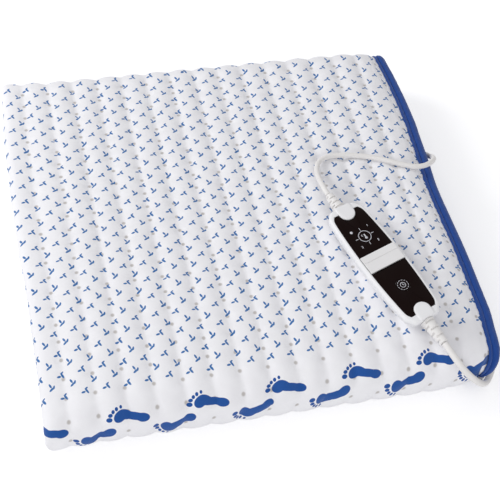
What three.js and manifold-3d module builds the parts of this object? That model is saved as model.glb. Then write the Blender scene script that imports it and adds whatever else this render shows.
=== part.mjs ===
// Electric underblanket for a single bed, folded into a flat pack, with its hand controller on
// top. Units are millimetres. X runs across the pack, from its folded side to its bound edge,
// Y runs from the front fold to the back, and Z is up. The pack rests on Z = 0.
//
// The blanket is folded once along its length, so that its fold lies on the left, and then
// twice across, so that four levels of double cloth lie on each other. Every layer is one
// sheet that follows this fold path. The controller is a housing of two shells with a circuit
// board inside. One lead joins it to the blanket's socket and one to the mains plug.

import * as THREE from "three";
import { mergeVertices } from "three/addons/utils/BufferGeometryUtils.js";
import Module from "manifold-3d";

const wasm = await Module();
wasm.setup();

// Clearances that every piece shares
const fitGap = 0.3;
const cutOver = 1;
const layerGap = 0.25;

// The pack and the layers of one sheet, from its inner face outwards
const packWidth = 396;
const packDepth = 382;
const backingGap = 0.2;
const backingThickness = 0.8;
const wireDiameter = 0.9;
const waddingThickness = 1.5;
const coverThickness = 0.7;
const pillowRise = 1.95;
const levelGap = 0.6;

const backingIn = backingGap;
const backingOut = backingIn + backingThickness;
const wireCentre = backingOut + layerGap + wireDiameter / 2;
const waddingIn = wireCentre + wireDiameter / 2 + layerGap;
const waddingOut = waddingIn + waddingThickness;
const coverIn = waddingOut + fitGap;
const coverValley = coverIn + coverThickness;
const sheetHalf = coverValley + pillowRise;
const levelPitch = 2 * sheetHalf + levelGap;

// The two folds across the blanket: the front one wraps round a smaller one
const wrapRadius = 1.5 * levelPitch;
const foldRadius = levelPitch / 2;
const innerFoldSetBack = 2;
const packHeight = 3 * levelPitch + 2 * sheetHalf;
const middleHeight = packHeight / 2;
const frontY = -packDepth / 2;
const wrapY = frontY + wrapRadius + sheetHalf;
const backFoldY = packDepth / 2 - foldRadius - sheetHalf;
const innerFoldY = wrapY + innerFoldSetBack;

// Edge tape
const tapeReach = 8.5;
const tapeFlange = 3.5;
const tapeThickness = 0.9;
const tapeSetBack = 5;
const endTapeDepth = 6;
const endTapeSetBack = 1;
const sheetEndY = packDepth / 2 - endTapeDepth - fitGap;
const foldX = -packWidth / 2 + sheetHalf;
const sheetEndX = packWidth / 2 - tapeReach;
const borderX = sheetEndX - tapeFlange - fitGap;

// Quilting channels run from front to back
const channelCount = 15;
const firstChannelSetBack = 20;
const lastChannelSetBack = 40;
const firstChannelX = -packWidth / 2 + firstChannelSetBack;
const lastChannelX = packWidth / 2 - lastChannelSetBack;
const channelPitch = (lastChannelX - firstChannelX) / (channelCount - 1);
const leftStationX = firstChannelX + channelPitch;
const rightStationX = lastChannelX;

// How the soft pack settles: it is thickest in the middle and thins to the edges, and its
// front right corner draws in, most near the floor
const crownRise = 4.5;
const acrossShares = [-1.2, 0.1, 0.45, -1.0];
const alongShares = [-0.9, 0.45, 0.8];
const cornerInset = 1.5;
const cornerUndercut = 22;
const cornerPull = 7;
const acrossPlaces = [foldX, leftStationX, rightStationX, sheetEndX];
const cornerY = wrapY + (backFoldY - wrapY) / 4;
const alongPlaces = [wrapY, cornerY, backFoldY];

// Heating wire
const wireRunsPerSheet = 5;
const wireSideMargin = 48;
const wireEndMargin = 15;
const wireSpacing = (packWidth - 2 * wireSideMargin) / (wireRunsPerSheet - 1);

// Controller housing
const housingLength = 131;
const housingWidth = 42.6;
const housingEndWidth = 36.6;
const housingNeckWidth = 17;
const shoulderSetBack = 8;
const housingHeight = 16.5;
const rimDepth = 3.5;
const rimRounding = 2.3;
const partingDepth = 7;
const partingInset = 0.5;
const flankRise = 5.5;
const flankInset = 2.2;
const baseRounding = 2;
const baseInset = 8;
const wall = 1.9;
const ceilingDepth = 3.4;
const floorThickness = 1.8;
const panelInset = 3.4;
const panelDrop = 0.2;
const panelThickness = 1.5;
const panelEndSetBack = 7.4;
const panelShoulder = 3.6;
const panelCorner = 5.6;
const recessDepth = panelDrop + panelThickness + fitGap;
const lobeRadius = 7.7;
const lobeSetBack = 8.2;
const lobeRise = 1.25;
const leadAxisDepth = 6.5;
const controllerEdgeDistance = 89.9;
const controllerFrontDistance = 103.8;
const controllerX = packWidth / 2 - controllerEdgeDistance;
const controllerY = frontY + controllerFrontDistance;
const controllerYawDegrees = 20;
const controllerRollDegrees = -2.5;
const controllerPitchDegrees = 3.5;

// Slide switch and keys
const knobLength = 17.7;
const knobCentreY = 2.2;
const knobWidth = 35.6;
const knobThickness = 1.3;
const knobRidge = 0.6;
const knobTravel = 5;
const stemLength = 4;
const stemWidth = 10;
const stemOffset = 1;
const stemFoot = 1.3;
const stemDepth = 4.4;
const footThickness = 0.7;
const leverWidth = 2;
const leverTop = 2.6;
const leverSeat = 1;
const keyCentreY = 28.7;
const keyRadius = 6;
const keyThickness = 1.1;
const keyTravel = 0.6;
const keyStemRadius = 3.2;
const keyCollarRadius = 4.4;
const plungerRadius = 1.5;
const plungerLength = 1.7;

// Circuit board and the parts on it
const boardWidth = 27;
const boardLength = 82;
const boardThickness = 1.4;
const boardTopDepth = 8.4;
const tactSize = 6;
const slideSwitchWidth = 9;
const slideSwitchLength = 15;
const slideSwitchTop = 5.6;
const lampSize = 2.2;
const lampHeight = 1.2;
const lampReach = 8.6;
const lightHoleRadius = 1.3;
const capacitorSize = [14, 9, 4];
const fuseRadius = 2;
const fuseLength = 15;
const powerChipSize = [9, 8, 2.4];
const controlChipSize = [8, 8, 1.4];
const terminalSize = [12, 7, 4];
const terminalSetBack = 1.5;
const chipX = 6;
const capacitorX = -5;
const fuseX = 7;
const partsY = 9;

// Housing screws
const screwX = 8;
const screwY = 47;
const screwHeadRadius = 2.6;
const screwHeadHeight = 1.6;
const screwShankRadius = 1.3;
const screwTipDepth = 5.2;
const counterboreDepth = 2;
const upperBossRadius = 3.2;
const lowerBossRadius = 3.6;
const bossMeetDepth = 8.6;
const postRadius = 2;
const postX = 10.5;
const postY = 20;

// Strain reliefs on the housing
const barrelRadius = 4.8;
const barrelInnerY = 54;
const collarRadius = 5.9;
const collarLength = 2.3;
const blanketReliefLength = 18;
const mainsReliefLength = 24;
const reliefBaseRadius = 6.4;
const reliefRibs = 4;
const reliefGroove = 0.5;

// Blanket lead, its connector and the socket on the blanket's edge
const blanketLeadDiameter = 5;
const connectorWidth = 16;
const connectorHeight = 11;
const connectorLength = 24.7;
const connectorReliefLength = 14;
const connectorReliefY = 113.3;
const connectorX = packWidth / 2 + fitGap + connectorWidth / 2;
const connectorZ = fitGap + connectorHeight / 2;
const socketLength = 24;
const noseWidth = 11.8;
const noseHeight = 6.8;
const noseLength = 12;
const contactRadius = 1;
const contactSpacing = 5;
const contactLength = 14;
const contactSeat = 6;

// Mains lead, coil, tie and plug
const mainsLeadDiameter = 6;
const coilTurns = 7;
const coilOuterRadius = 46.6;
const coilTurnPitch = 6.46;
const coilLayerRise = 6.5;
const coilCentre = { x: 262, y: -192 };
const coilStepsPerTurn = 24;
const coilSides = 6;
const tieThickness = 0.9;
const tieWidth = 9;
const plugWidth = 35.3;
const plugHeight = 13.7;
const plugLength = 26;
const plugTailWidth = 14;
const plugTailLength = 12;
const plugX = 334;
const plugTopY = -196;
const plugReliefLength = 20;
const plugPinRadius = 2;
const plugPinLength = 19;
const plugPinSpacing = 18.6;
const plugPinSeat = 8;

// The routes of the free cord stretches, in the pack's frame, chosen by hand
const blanketLeadRoute = [
  [79.3, -7.9, 75.5], [77.9, -4, 75.7], [77.2, 1.5, 75.3], [77, 9.5, 73.1], [77.5, 20, 69.6],
  [79.3, 31, 66.4], [84, 41, 64.5], [92.5, 46.5, 64], [104, 47.5, 64],
  [120, 45, 64.1], [136, 40.4, 64.1], [151, 33.9, 63.9], [164, 28.5, 63],
  [175, 25.1, 62.1], [184, 25.5, 61.2], [191.6, 29, 59.7], [198, 35.2, 56.9],
  [201.6, 43.8, 49.9], [203, 53, 41.2], [204, 62, 33.4], [204.6, 71, 25.5],
  [205, 80, 18], [205, 89, 12], [205.6, 98, 8], [206.2, 106, 6.2],
  [206.3, 113, 5.8],
];
const mainsLeadRoute = [
  [139.3, -171.3, 64.8], [140.6, -175, 64.6], [143.2, -181, 63], [147.2, -187.6, 59.4],
  [152, -192.6, 53.8], [158.3, -195.4, 46.6], [165.5, -196, 37.8], [173, -194, 28.2],
  [180.2, -190.2, 19], [187.5, -184.4, 12], [194.6, -175.6, 7.5], [201.4, -165.5, 4.8],
  [208.8, -156.4, 3.6], [217.4, -149.8, 3.4], [228, -146.2, 3.5], [238, -145.3, 3.8],
  [247, -145.4, 4.1], [255.7, -145.4, 4.2],
];
const plugLeadRoute = [
  [268.3, -145.4, 10.7], [274, -145.4, 10.6], [281, -145.4, 10], [288, -145.7, 8.8],
  [297, -146.3, 7.6], [307, -148, 6.7], [317, -151.6, 6.5], [325.5, -157.5, 6.7],
  [331.4, -164.8, 6.9], [333.8, -171, 7.1], [334, -175.7, 7.1],
];

// Colours
const clothWhite = 0xefeff3;
const tapeBlue = 0x2a4889;
const housingWhite = 0xe4e4e8;
const panelBlack = 0x120d0f;
const cordWhite = 0xd2cfd2;
const metalGrey = 0xb9bcc0;

const degrees = Math.PI / 180;
const group = new THREE.Group();
const pack = new THREE.Group();
group.add(pack);
const socketOuterX = connectorX + connectorWidth / 2;
pack.position.set(-(socketOuterX - packWidth / 2) / 2, 0, 0);

function material(colour, roughness, metalness = 0) {
  return new THREE.MeshStandardMaterial({ color: colour, roughness, metalness });
}

function addPiece(parent, name, geometry, look) {
  const mesh = new THREE.Mesh(geometry, look);
  mesh.name = name;
  parent.add(mesh);
  return mesh;
}

// Solids from rings of points

function signedVolume(positions, faces) {
  let volume = 0;
  const corner = (i) => new THREE.Vector3().fromArray(positions, 3 * i);
  for (let i = 0; i < faces.length; i += 3) {
    const a = corner(faces[i]);
    volume += a.dot(corner(faces[i + 1]).cross(corner(faces[i + 2]))) / 6;
  }
  return volume;
}

// Joins each ring of points to the next and closes the first and the last one. The outline
// gives the ring's points in a plane, for the two end faces. Each four-sided face is divided
// the same way by X, so that the bent faces of two layers stay parallel.
function skin(rings, outline) {
  const count = rings[0].length;
  const positions = rings.flat().flatMap((p) => [p.x, p.y, p.z]);
  const faces = [];
  for (let i = 0; i + 1 < rings.length; i += 1) {
    for (let j = 0; j < count; j += 1) {
      const a = i * count + j;
      const b = i * count + ((j + 1) % count);
      if (outline[(j + 1) % count].x > outline[j].x) {
        faces.push(a, b, b + count, a, b + count, a + count);
      } else {
        faces.push(a, b, a + count, b, b + count, a + count);
      }
    }
  }
  const turned = THREE.ShapeUtils.isClockWise(outline);
  const last = (rings.length - 1) * count;
  for (const [p, q, r] of THREE.ShapeUtils.triangulateShape(outline, [])) {
    const [s, t] = turned ? [r, q] : [q, r];
    faces.push(p, t, s, last + p, last + s, last + t);
  }
  if (signedVolume(positions, faces) < 0) {
    faces.reverse();
  }
  const geometry = new THREE.BufferGeometry();
  geometry.setAttribute("position", new THREE.Float32BufferAttribute(positions, 3));
  geometry.setIndex(faces);
  geometry.computeVertexNormals();
  return geometry;
}

function toSolid(geometry) {
  const bare = geometry.clone();
  bare.deleteAttribute("normal");
  bare.deleteAttribute("uv");
  const merged = mergeVertices(bare);
  return new wasm.Manifold(new wasm.Mesh({
    numProp: 3,
    vertProperties: new Float32Array(merged.attributes.position.array),
    triVerts: new Uint32Array(merged.index.array),
  }));
}

function toGeometry(solid) {
  const mesh = solid.getMesh();
  const geometry = new THREE.BufferGeometry();
  geometry.setAttribute("position", new THREE.Float32BufferAttribute(mesh.vertProperties, 3));
  geometry.setIndex(Array.from(mesh.triVerts));
  geometry.computeVertexNormals();
  return geometry;
}

// Joins the first list of geometries and cuts the second list away
function shaped(joined, cuts = []) {
  let solid = toSolid(joined[0]);
  for (const geometry of joined.slice(1)) {
    solid = solid.add(toSolid(geometry));
  }
  for (const geometry of cuts) {
    solid = solid.subtract(toSolid(geometry));
  }
  return toGeometry(solid);
}

function block(low, high) {
  const size = high.map((value, i) => value - low[i]);
  const geometry = new THREE.BoxGeometry(...size);
  return geometry.translate(...low.map((value, i) => value + size[i] / 2));
}

// An upright round bar from one height to another
function rod(radius, lowZ, highZ, x, y, sides = 16) {
  const geometry = new THREE.CylinderGeometry(radius, radius, highZ - lowZ, sides);
  return geometry.rotateX(Math.PI / 2).translate(x, y, (lowZ + highZ) / 2);
}

// A round bar along Y
function barY(radius, lowY, highY, x, z, sides = 16) {
  const geometry = new THREE.CylinderGeometry(radius, radius, highY - lowY, sides);
  return geometry.translate(x, (lowY + highY) / 2, z);
}

// A turned solid along Y from pairs of radius and Y, closed on the axis
function turnedY(profile, x, z, sides = 16) {
  const points = profile.map(([radius, y]) => new THREE.Vector2(radius, y));
  return new THREE.LatheGeometry(points, sides).translate(x, 0, z);
}

// The soft pack

function readTable(places, values, at) {
  if (at <= places[0]) {
    return values[0];
  }
  for (let i = 1; i < places.length; i += 1) {
    if (at <= places[i]) {
      const part = (at - places[i - 1]) / (places[i] - places[i - 1]);
      return values[i - 1] + part * (values[i] - values[i - 1]);
    }
  }
  return values[values.length - 1];
}

function topLift(x, y) {
  const across = readTable(acrossPlaces, acrossShares, x);
  return crownRise * (across + readTable(alongPlaces, alongShares, y));
}

// Moves a point of the squarely folded pack to where the settled pack has it
function settle(x, y, z) {
  const { clamp } = THREE.MathUtils;
  const high = z / packHeight;
  const front = clamp((cornerY - y) / (cornerY - frontY), 0, 1);
  const across = (x - foldX) / (sheetEndX - foldX);
  const corner = clamp((x - rightStationX) / (sheetEndX - rightStationX), 0, 1);
  const inset = cornerInset + cornerUndercut * (1 - high) * (1 - high);
  return new THREE.Vector3(
    x - across * front * inset,
    y + cornerPull * front * corner,
    z + high * topLift(x, y),
  );
}

function levelHeight(level) {
  return sheetHalf + (level - 1) * levelPitch;
}

// The path of the folded blanket in the YZ plane, from its foot end under the pack to its
// head end inside. Each step has a place and the normal of the blanket's printed face.
function foldPath() {
  const steps = [];
  const run = (level, facing, places, onFloor = false) => {
    for (const y of places) {
      steps.push({ y, z: levelHeight(level), ny: 0, nz: facing, onFloor });
    }
  };
  const arc = (centreY, centreZ, radius, from, to, segments, facing) => {
    for (let i = 1; i < segments; i += 1) {
      const angle = (from + (to - from) * i / segments) * degrees;
      const y = Math.cos(angle);
      const z = Math.sin(angle);
      steps.push({
        y: centreY + radius * y,
        z: centreZ + radius * z,
        ny: facing * y,
        nz: facing * z,
        onFloor: false,
      });
    }
  };
  const backFoldZ = (levelHeight(3) + levelHeight(4)) / 2;
  const innerFoldZ = (levelHeight(2) + levelHeight(3)) / 2;
  run(1, -1, [sheetEndY, cornerY, wrapY], true);
  arc(wrapY, middleHeight, wrapRadius, 270, 90, 6, 1);
  run(4, 1, [wrapY, cornerY, backFoldY]);
  arc(backFoldY, backFoldZ, foldRadius, 90, -90, 4, 1);
  run(3, -1, [backFoldY, cornerY, innerFoldY]);
  arc(innerFoldY, innerFoldZ, foldRadius, 90, 270, 4, -1);
  run(2, 1, [innerFoldY, cornerY, sheetEndY]);
  return steps;
}

const path = foldPath();

function ringAt(step, section) {
  return section.map(([x, n]) => settle(x, step.y + n * step.ny, step.z + n * step.nz));
}

// Carries a section, a list of X and height above the sheet pair's middle, along the path
function sweep(sectionFor) {
  const rings = path.map((step) => ringAt(step, sectionFor(step)));
  const outline = sectionFor(path[0]).map(([x, n]) => new THREE.Vector2(x, n));
  return skin(rings, outline);
}

// The half turn of a layer round the fold on the left, from its upper to its lower face
function foldTurn(radius) {
  const points = [];
  for (let i = 0; i <= 4; i += 1) {
    const angle = i * Math.PI / 4;
    points.push([foldX - radius * Math.sin(angle), radius * Math.cos(angle)]);
  }
  return points;
}

// One layer folded into a U: plain faces at the given heights
function layerSection(outer, inner, endX = sheetEndX) {
  const places = [endX, rightStationX, leftStationX];
  const back = [...places].reverse();
  return [
    ...places.map((x) => [x, outer]),
    ...foldTurn(outer),
    ...back.map((x) => [x, -outer]),
    ...places.map((x) => [x, -inner]),
    ...foldTurn(inner).reverse(),
    ...back.map((x) => [x, inner]),
  ];
}

// The quilted cover: pillows between the channels on the printed face, pressed flat where
// the pack rests on the floor
function coverSection(onFloor) {
  const valley = onFloor ? sheetHalf : coverValley;
  const face = [[sheetEndX, coverValley], [borderX, coverValley]];
  for (let i = channelCount - 1; i >= 0; i -= 1) {
    const x = firstChannelX + i * channelPitch;
    const crestX = (x + Math.min(x + channelPitch, borderX)) / 2;
    face.push([crestX, sheetHalf], [x, valley]);
  }
  const plain = layerSection(sheetHalf, coverIn).slice(3);
  const turned = plain.findIndex(([x]) => x === rightStationX) + 1;
  return [
    ...face,
    ...plain.slice(0, turned),
    [borderX - channelPitch / 4, -sheetHalf],
    [borderX, -coverValley],
    [sheetEndX, -coverValley],
    ...plain.slice(turned + 1),
  ];
}

// The tape round one long edge: a flange on the sheet and a roll that hides its end
function tapeSection(side, outerX) {
  const flangeLow = coverValley + fitGap;
  const flangeHigh = flangeLow + tapeThickness;
  const rollHigh = sheetHalf - layerGap;
  const rollLow = backingGap;
  const rollStart = sheetEndX + 3 * fitGap;
  const rollWidth = outerX - rollStart;
  const rollHeight = rollHigh - rollLow;
  const points = [
    [sheetEndX - tapeFlange, flangeLow],
    [sheetEndX - tapeFlange, flangeHigh],
    [sheetEndX, flangeHigh],
    [rollStart + rollWidth * 0.4, rollHigh],
    [rollStart + rollWidth * 0.8, rollHigh - rollHeight * 0.12],
    [outerX, rollHigh - rollHeight * 0.5],
    [rollStart + rollWidth * 0.8, rollLow + rollHeight * 0.1],
    [rollStart + rollWidth * 0.4, rollLow],
    [rollStart, rollLow],
    [rollStart, flangeLow],
  ];
  return points.map(([x, n]) => [x, side * n]);
}

// The tape over an end of the folded blanket: a U band that rounds off away from the sheet
function endTape(level, facing) {
  const outer = sheetHalf - 2 * layerGap;
  const inner = layerGap;
  const rounding = outer * 0.22;
  const tapeX = packWidth / 2 - endTapeSetBack;
  const start = sheetEndY + fitGap;
  const stations = [
    [start, 0],
    [start + endTapeDepth * 0.6, 0],
    [start + endTapeDepth - fitGap, rounding],
  ];
  const sectionWith = (drawn) => layerSection(outer - drawn, inner + drawn, tapeX);
  const rings = stations.map(([y, drawn]) => ringAt(
    { y, z: levelHeight(level), ny: 0, nz: facing },
    sectionWith(drawn),
  ));
  return skin(rings, sectionWith(0).map(([x, n]) => new THREE.Vector2(x, n)));
}

// Heating wire: one length of wire laid in runs from foot to head and back, through both
// sheets. Its corners are set out on the flat blanket and then carried along the fold path.

const pathLengths = path.reduce((sums, step, i) => {
  const before = path[i - 1];
  const gap = before ? Math.hypot(step.y - before.y, step.z - before.z) : 0;
  return [...sums, (sums[i - 1] ?? 0) + gap];
}, []);

function fromFlat(point) {
  let i = 1;
  while (i < path.length - 1 && pathLengths[i] < point.z) {
    i += 1;
  }
  const part = (point.z - pathLengths[i - 1]) / (pathLengths[i] - pathLengths[i - 1]);
  const spot = (step) => [step.y + point.y * step.ny, step.z + point.y * step.nz];
  const [y0, z0] = spot(path[i - 1]);
  const [y1, z1] = spot(path[i]);
  return settle(point.x, y0 + part * (y1 - y0), z0 + part * (z1 - z0));
}

// A tube round a line with sharp corners: each ring is the one before it, carried along the
// line to the plane that halves the next corner
function mitredTube(line, radius) {
  const along = line.slice(1).map((p, i) => p.clone().sub(line[i]).normalize());
  const ring = [[radius, 0], [0, radius], [-radius, 0], [0, -radius]].map(
    ([x, n]) => line[0].clone().add(new THREE.Vector3(x, n, 0)),
  );
  const rings = [ring];
  for (let i = 1; i < line.length; i += 1) {
    const incoming = along[i - 1];
    const plane = incoming.clone().add(along[i] ?? incoming).normalize();
    rings.push(rings[i - 1].map((p) => {
      const reach = line[i].clone().sub(p).dot(plane) / incoming.dot(plane);
      return p.clone().addScaledVector(incoming, reach);
    }));
  }
  return rings;
}

function heatingWire() {
  const first = wireEndMargin;
  const last = pathLengths[pathLengths.length - 1] - wireEndMargin;
  const inner = pathLengths.filter((s) => s > first && s < last);
  const places = [first, ...inner, last];
  const line = [];
  for (let run = 0; run < 2 * wireRunsPerSheet; run += 1) {
    const upper = run < wireRunsPerSheet;
    const column = upper ? wireRunsPerSheet - 1 - run : run - wireRunsPerSheet;
    const x = (column - (wireRunsPerSheet - 1) / 2) * wireSpacing;
    const n = upper ? wireCentre : -wireCentre;
    const order = run % 2 === 0 ? places : [...places].reverse();
    order.forEach((s) => line.push(new THREE.Vector3(x, n, s)));
    if (run === wireRunsPerSheet - 1) {
      const turn = foldTurn(wireCentre);
      const across = [[leftStationX, wireCentre], ...turn, [leftStationX, -wireCentre]];
      across.forEach(([turnX, turnN]) => line.push(new THREE.Vector3(turnX, turnN, last)));
    }
  }
  const rings = mitredTube(line, wireDiameter / 2);
  const outline = rings[0].map((p) => new THREE.Vector2(p.x, p.y));
  return skin(rings.map((ring) => ring.map(fromFlat)), outline);
}

const cloth = material(clothWhite, 0.95);
const tape = material(tapeBlue, 0.8);
addPiece(pack, "printed_cover", sweep((step) => coverSection(step.onFloor)), cloth);
addPiece(
  pack,
  "wadding",
  sweep(() => layerSection(waddingOut, waddingIn)),
  material(0xf4f2ea, 1),
);
addPiece(
  pack,
  "backing_fabric",
  sweep(() => layerSection(backingOut, backingIn)),
  material(0xe6e6ea, 0.95),
);
addPiece(pack, "heating_wire", heatingWire(), material(0xc9c2b4, 0.6));
addPiece(pack, "upper_edge_binding", sweep(() => tapeSection(1, packWidth / 2)), tape);
addPiece(
  pack,
  "lower_edge_binding",
  sweep(() => tapeSection(-1, packWidth / 2 - tapeSetBack)),
  tape,
);
addPiece(pack, "foot_end_binding", endTape(1, -1), tape);
addPiece(pack, "head_end_binding", endTape(2, 1), tape);

// The controller. Its own X runs across it, Y towards the blanket lead, and Z out of its
// face, whose rim lies at Z = 0. Depths are measured down from there.

const controller = new THREE.Group();

function halfWidthAt(y) {
  const share = y / (housingLength / 2 - shoulderSetBack);
  return (housingWidth - (housingWidth - housingEndWidth) * share * share) / 2;
}

// The housing's outline, drawn in by an inset, anticlockwise
function housingOutline(inset) {
  const end = housingLength / 2 - inset;
  const shoulder = end - shoulderSetBack;
  const endHalf = housingEndWidth / 2 - inset;
  const neck = housingNeckWidth / 2 - inset;
  const quarter = [];
  for (const share of [0, 0.27, 0.54, 0.8]) {
    quarter.push([halfWidthAt(share * shoulder) - inset, share * shoulder]);
  }
  quarter.push(
    [endHalf, shoulder],
    [endHalf - shoulderSetBack * 0.25, shoulder + shoulderSetBack * 0.35],
    [(endHalf + neck) / 2, shoulder + shoulderSetBack * 0.72],
    [neck, end],
  );
  const others = [...quarter].reverse().map(([x, y]) => [-x, y]);
  const top = [...quarter, ...others];
  const bottom = top.slice(1, -1).map(([x, y]) => [-x, -y]);
  return [...top, ...bottom].map(([x, y]) => new THREE.Vector2(x, y));
}

// A body from outlines at several depths: pairs of depth and outline
function stack(layers) {
  const rings = layers.map(([depth, outline]) => outline.map(
    (p) => new THREE.Vector3(p.x, p.y, -depth),
  ));
  return skin(rings, layers[0][1]);
}

function housingBody(layers) {
  return stack(layers.map(([depth, inset]) => [depth, housingOutline(inset)]));
}

// A plate cut from a flat outline, between two depths
function plate(shape, topDepth, bottomDepth) {
  const geometry = new THREE.ExtrudeGeometry(shape, {
    depth: bottomDepth - topDepth,
    bevelEnabled: false,
    curveSegments: 8,
  });
  return geometry.translate(0, 0, -bottomDepth);
}

// A black panel's outline at the end that Y points to: side is 1 for the upper panel and -1
// for the lower one, and a positive spread gives its recess
function panelShape(side, spread) {
  const start = side > 0 ? knobCentreY + knobLength / 2 : knobLength / 2 - knobCentreY;
  const near = start + fitGap - spread;
  const end = housingLength / 2 - panelEndSetBack;
  const shoulder = end - panelShoulder;
  const lobeY = housingLength / 2 - lobeSetBack;
  const notch = lobeRadius + fitGap - spread;
  const notchAngle = Math.asin((end + spread - lobeY) / notch);
  const wide = halfWidthAt(near) - panelInset + spread;
  const narrow = halfWidthAt(shoulder) - panelInset + spread;
  const shape = new THREE.Shape();
  shape.moveTo(-wide, near);
  shape.lineTo(wide, near);
  shape.lineTo(narrow, shoulder);
  shape.lineTo(narrow - panelCorner, end + spread);
  shape.absarc(0, lobeY, notch, notchAngle, Math.PI - notchAngle, true);
  shape.lineTo(panelCorner - narrow, end + spread);
  shape.lineTo(-narrow, shoulder);
  shape.closePath();
  if (side > 0) {
    return shape;
  }
  return new THREE.Shape(shape.getPoints(8).map((p) => new THREE.Vector2(p.x, -p.y)));
}

// The raised tongue round a lead's exit, at the end that Y points to
function lobe(side) {
  const centre = housingLength / 2 - lobeSetBack;
  const end = housingLength / 2 - panelInset / 2;
  const outline = (radius) => {
    const points = [];
    for (let i = 0; i <= 8; i += 1) {
      const angle = Math.PI + i * Math.PI / 8;
      points.push([radius * Math.cos(angle), centre + radius * Math.sin(angle)]);
    }
    points.push([radius, end], [-radius, end]);
    return points.map(([x, y]) => new THREE.Vector2(x, side * y));
  };
  return stack([
    [recessDepth + fitGap, outline(lobeRadius)],
    [-lobeRise * 0.4, outline(lobeRadius)],
    [-lobeRise * 0.85, outline(lobeRadius * 0.86)],
    [-lobeRise, outline(lobeRadius * 0.65)],
  ]);
}

const ends = [1, -1];
const screwPlaces = ends.flatMap((y) => ends.map((x) => [x * screwX, y * screwY]));
const lampPlaces = ends.flatMap((y) => ends.map(
  (x) => [x * lampReach, keyCentreY + y * lampReach],
));
const stemLowY = knobCentreY + stemOffset;
const boardBottomDepth = boardTopDepth + boardThickness;
const floorDepth = housingHeight - floorThickness;
const screwHole = screwShankRadius + fitGap;

// The round way through the housing's end for a strain relief, with room for its collar
function reliefBore(side) {
  const end = housingLength / 2;
  const length = [barrelInnerY - fitGap, end + cutOver];
  const collar = [end - wall - fitGap - collarLength - 2 * fitGap, end - wall];
  return [[barrelRadius + fitGap, length], [collarRadius + fitGap, collar]].map(
    ([radius, [low, high]]) => barY(
      radius,
      side > 0 ? low : -high,
      side > 0 ? high : -low,
      0,
      -leadAxisDepth,
    ),
  );
}

function upperShell() {
  const body = housingBody([
    [partingDepth, partingInset],
    [rimDepth, 0],
    [rimDepth * 0.37, rimRounding * 0.2],
    [rimDepth * 0.1, rimRounding * 0.57],
    [0, rimRounding],
  ]);
  const bosses = screwPlaces.map(([x, y]) => rod(
    upperBossRadius,
    -bossMeetDepth,
    -ceilingDepth + fitGap,
    x,
    y,
  ));
  const hollow = housingBody([
    [partingDepth + cutOver, wall + rimDepth * 0.2],
    [ceilingDepth, wall + rimDepth * 0.2],
  ]);
  const slotLow = stemLowY - knobTravel - fitGap;
  const slotHigh = stemLowY + stemLength + fitGap;
  const slotHalf = stemWidth / 2 + fitGap;
  const knobHalf = knobWidth / 2 + fitGap;
  const knobStart = knobCentreY - knobLength / 2 - cutOver;
  const knobEnd = knobCentreY + knobLength / 2 + fitGap;
  const cuts = [
    ...ends.map((side) => plate(panelShape(side, fitGap), -cutOver, recessDepth)),
    block([-knobHalf, knobStart, -panelDrop], [knobHalf, knobEnd, cutOver]),
    block([-slotHalf, slotLow, -ceilingDepth - cutOver], [slotHalf, slotHigh, cutOver]),
    ...ends.map((side) => rod(
      keyStemRadius + fitGap,
      -ceilingDepth - cutOver,
      cutOver,
      0,
      side * keyCentreY,
    )),
    ...lampPlaces.map(([x, y]) => rod(
      lightHoleRadius,
      -ceilingDepth - cutOver,
      cutOver,
      x,
      y,
      8,
    )),
    ...ends.flatMap(reliefBore),
    ...screwPlaces.map(([x, y]) => rod(
      screwHole,
      -bossMeetDepth - cutOver,
      -screwTipDepth + fitGap,
      x,
      y,
      12,
    )),
  ];
  const open = shaped([body], [hollow]);
  return shaped([open, ...ends.map(lobe), ...bosses], cuts);
}

// Depths and insets of the housing's underside
const baseLayers = [
  [housingHeight, baseInset],
  [housingHeight - baseRounding, baseInset - 1.5 * baseRounding],
  [housingHeight - flankRise, flankInset],
];

function lowerShell() {
  const top = partingDepth + fitGap;
  const body = housingBody([...baseLayers, [top, partingInset]]);
  const hollow = housingBody([
    [floorDepth, baseInset * 0.9],
    [housingHeight - flankRise, flankInset + wall],
    [top - cutOver, partingInset + wall],
  ]);
  const bossTop = -bossMeetDepth - fitGap;
  const posts = ends.flatMap((y) => ends.map((x) => rod(
    postRadius,
    -floorDepth - fitGap,
    -boardBottomDepth - fitGap,
    x * postX,
    y * postY,
    10,
  )));
  const bosses = screwPlaces.map(([x, y]) => rod(
    lowerBossRadius,
    -floorDepth - fitGap,
    bossTop,
    x,
    y,
  ));
  const cuts = [
    ...ends.flatMap(reliefBore),
    ...screwPlaces.flatMap(([x, y]) => [
      rod(screwHole, -housingHeight - cutOver, bossTop + cutOver, x, y, 12),
      rod(
        screwHeadRadius + fitGap,
        -housingHeight - cutOver,
        -housingHeight + counterboreDepth,
        x,
        y,
      ),
    ]),
  ];
  const open = shaped([body], [hollow]);
  return shaped([open, ...posts, ...bosses], cuts);
}

function panel(side) {
  const body = plate(panelShape(side, 0), panelDrop, panelDrop + panelThickness);
  const hole = rod(
    keyRadius + fitGap,
    -recessDepth,
    cutOver,
    0,
    side * keyCentreY,
    24,
  );
  return shaped([body], [hole]);
}

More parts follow.
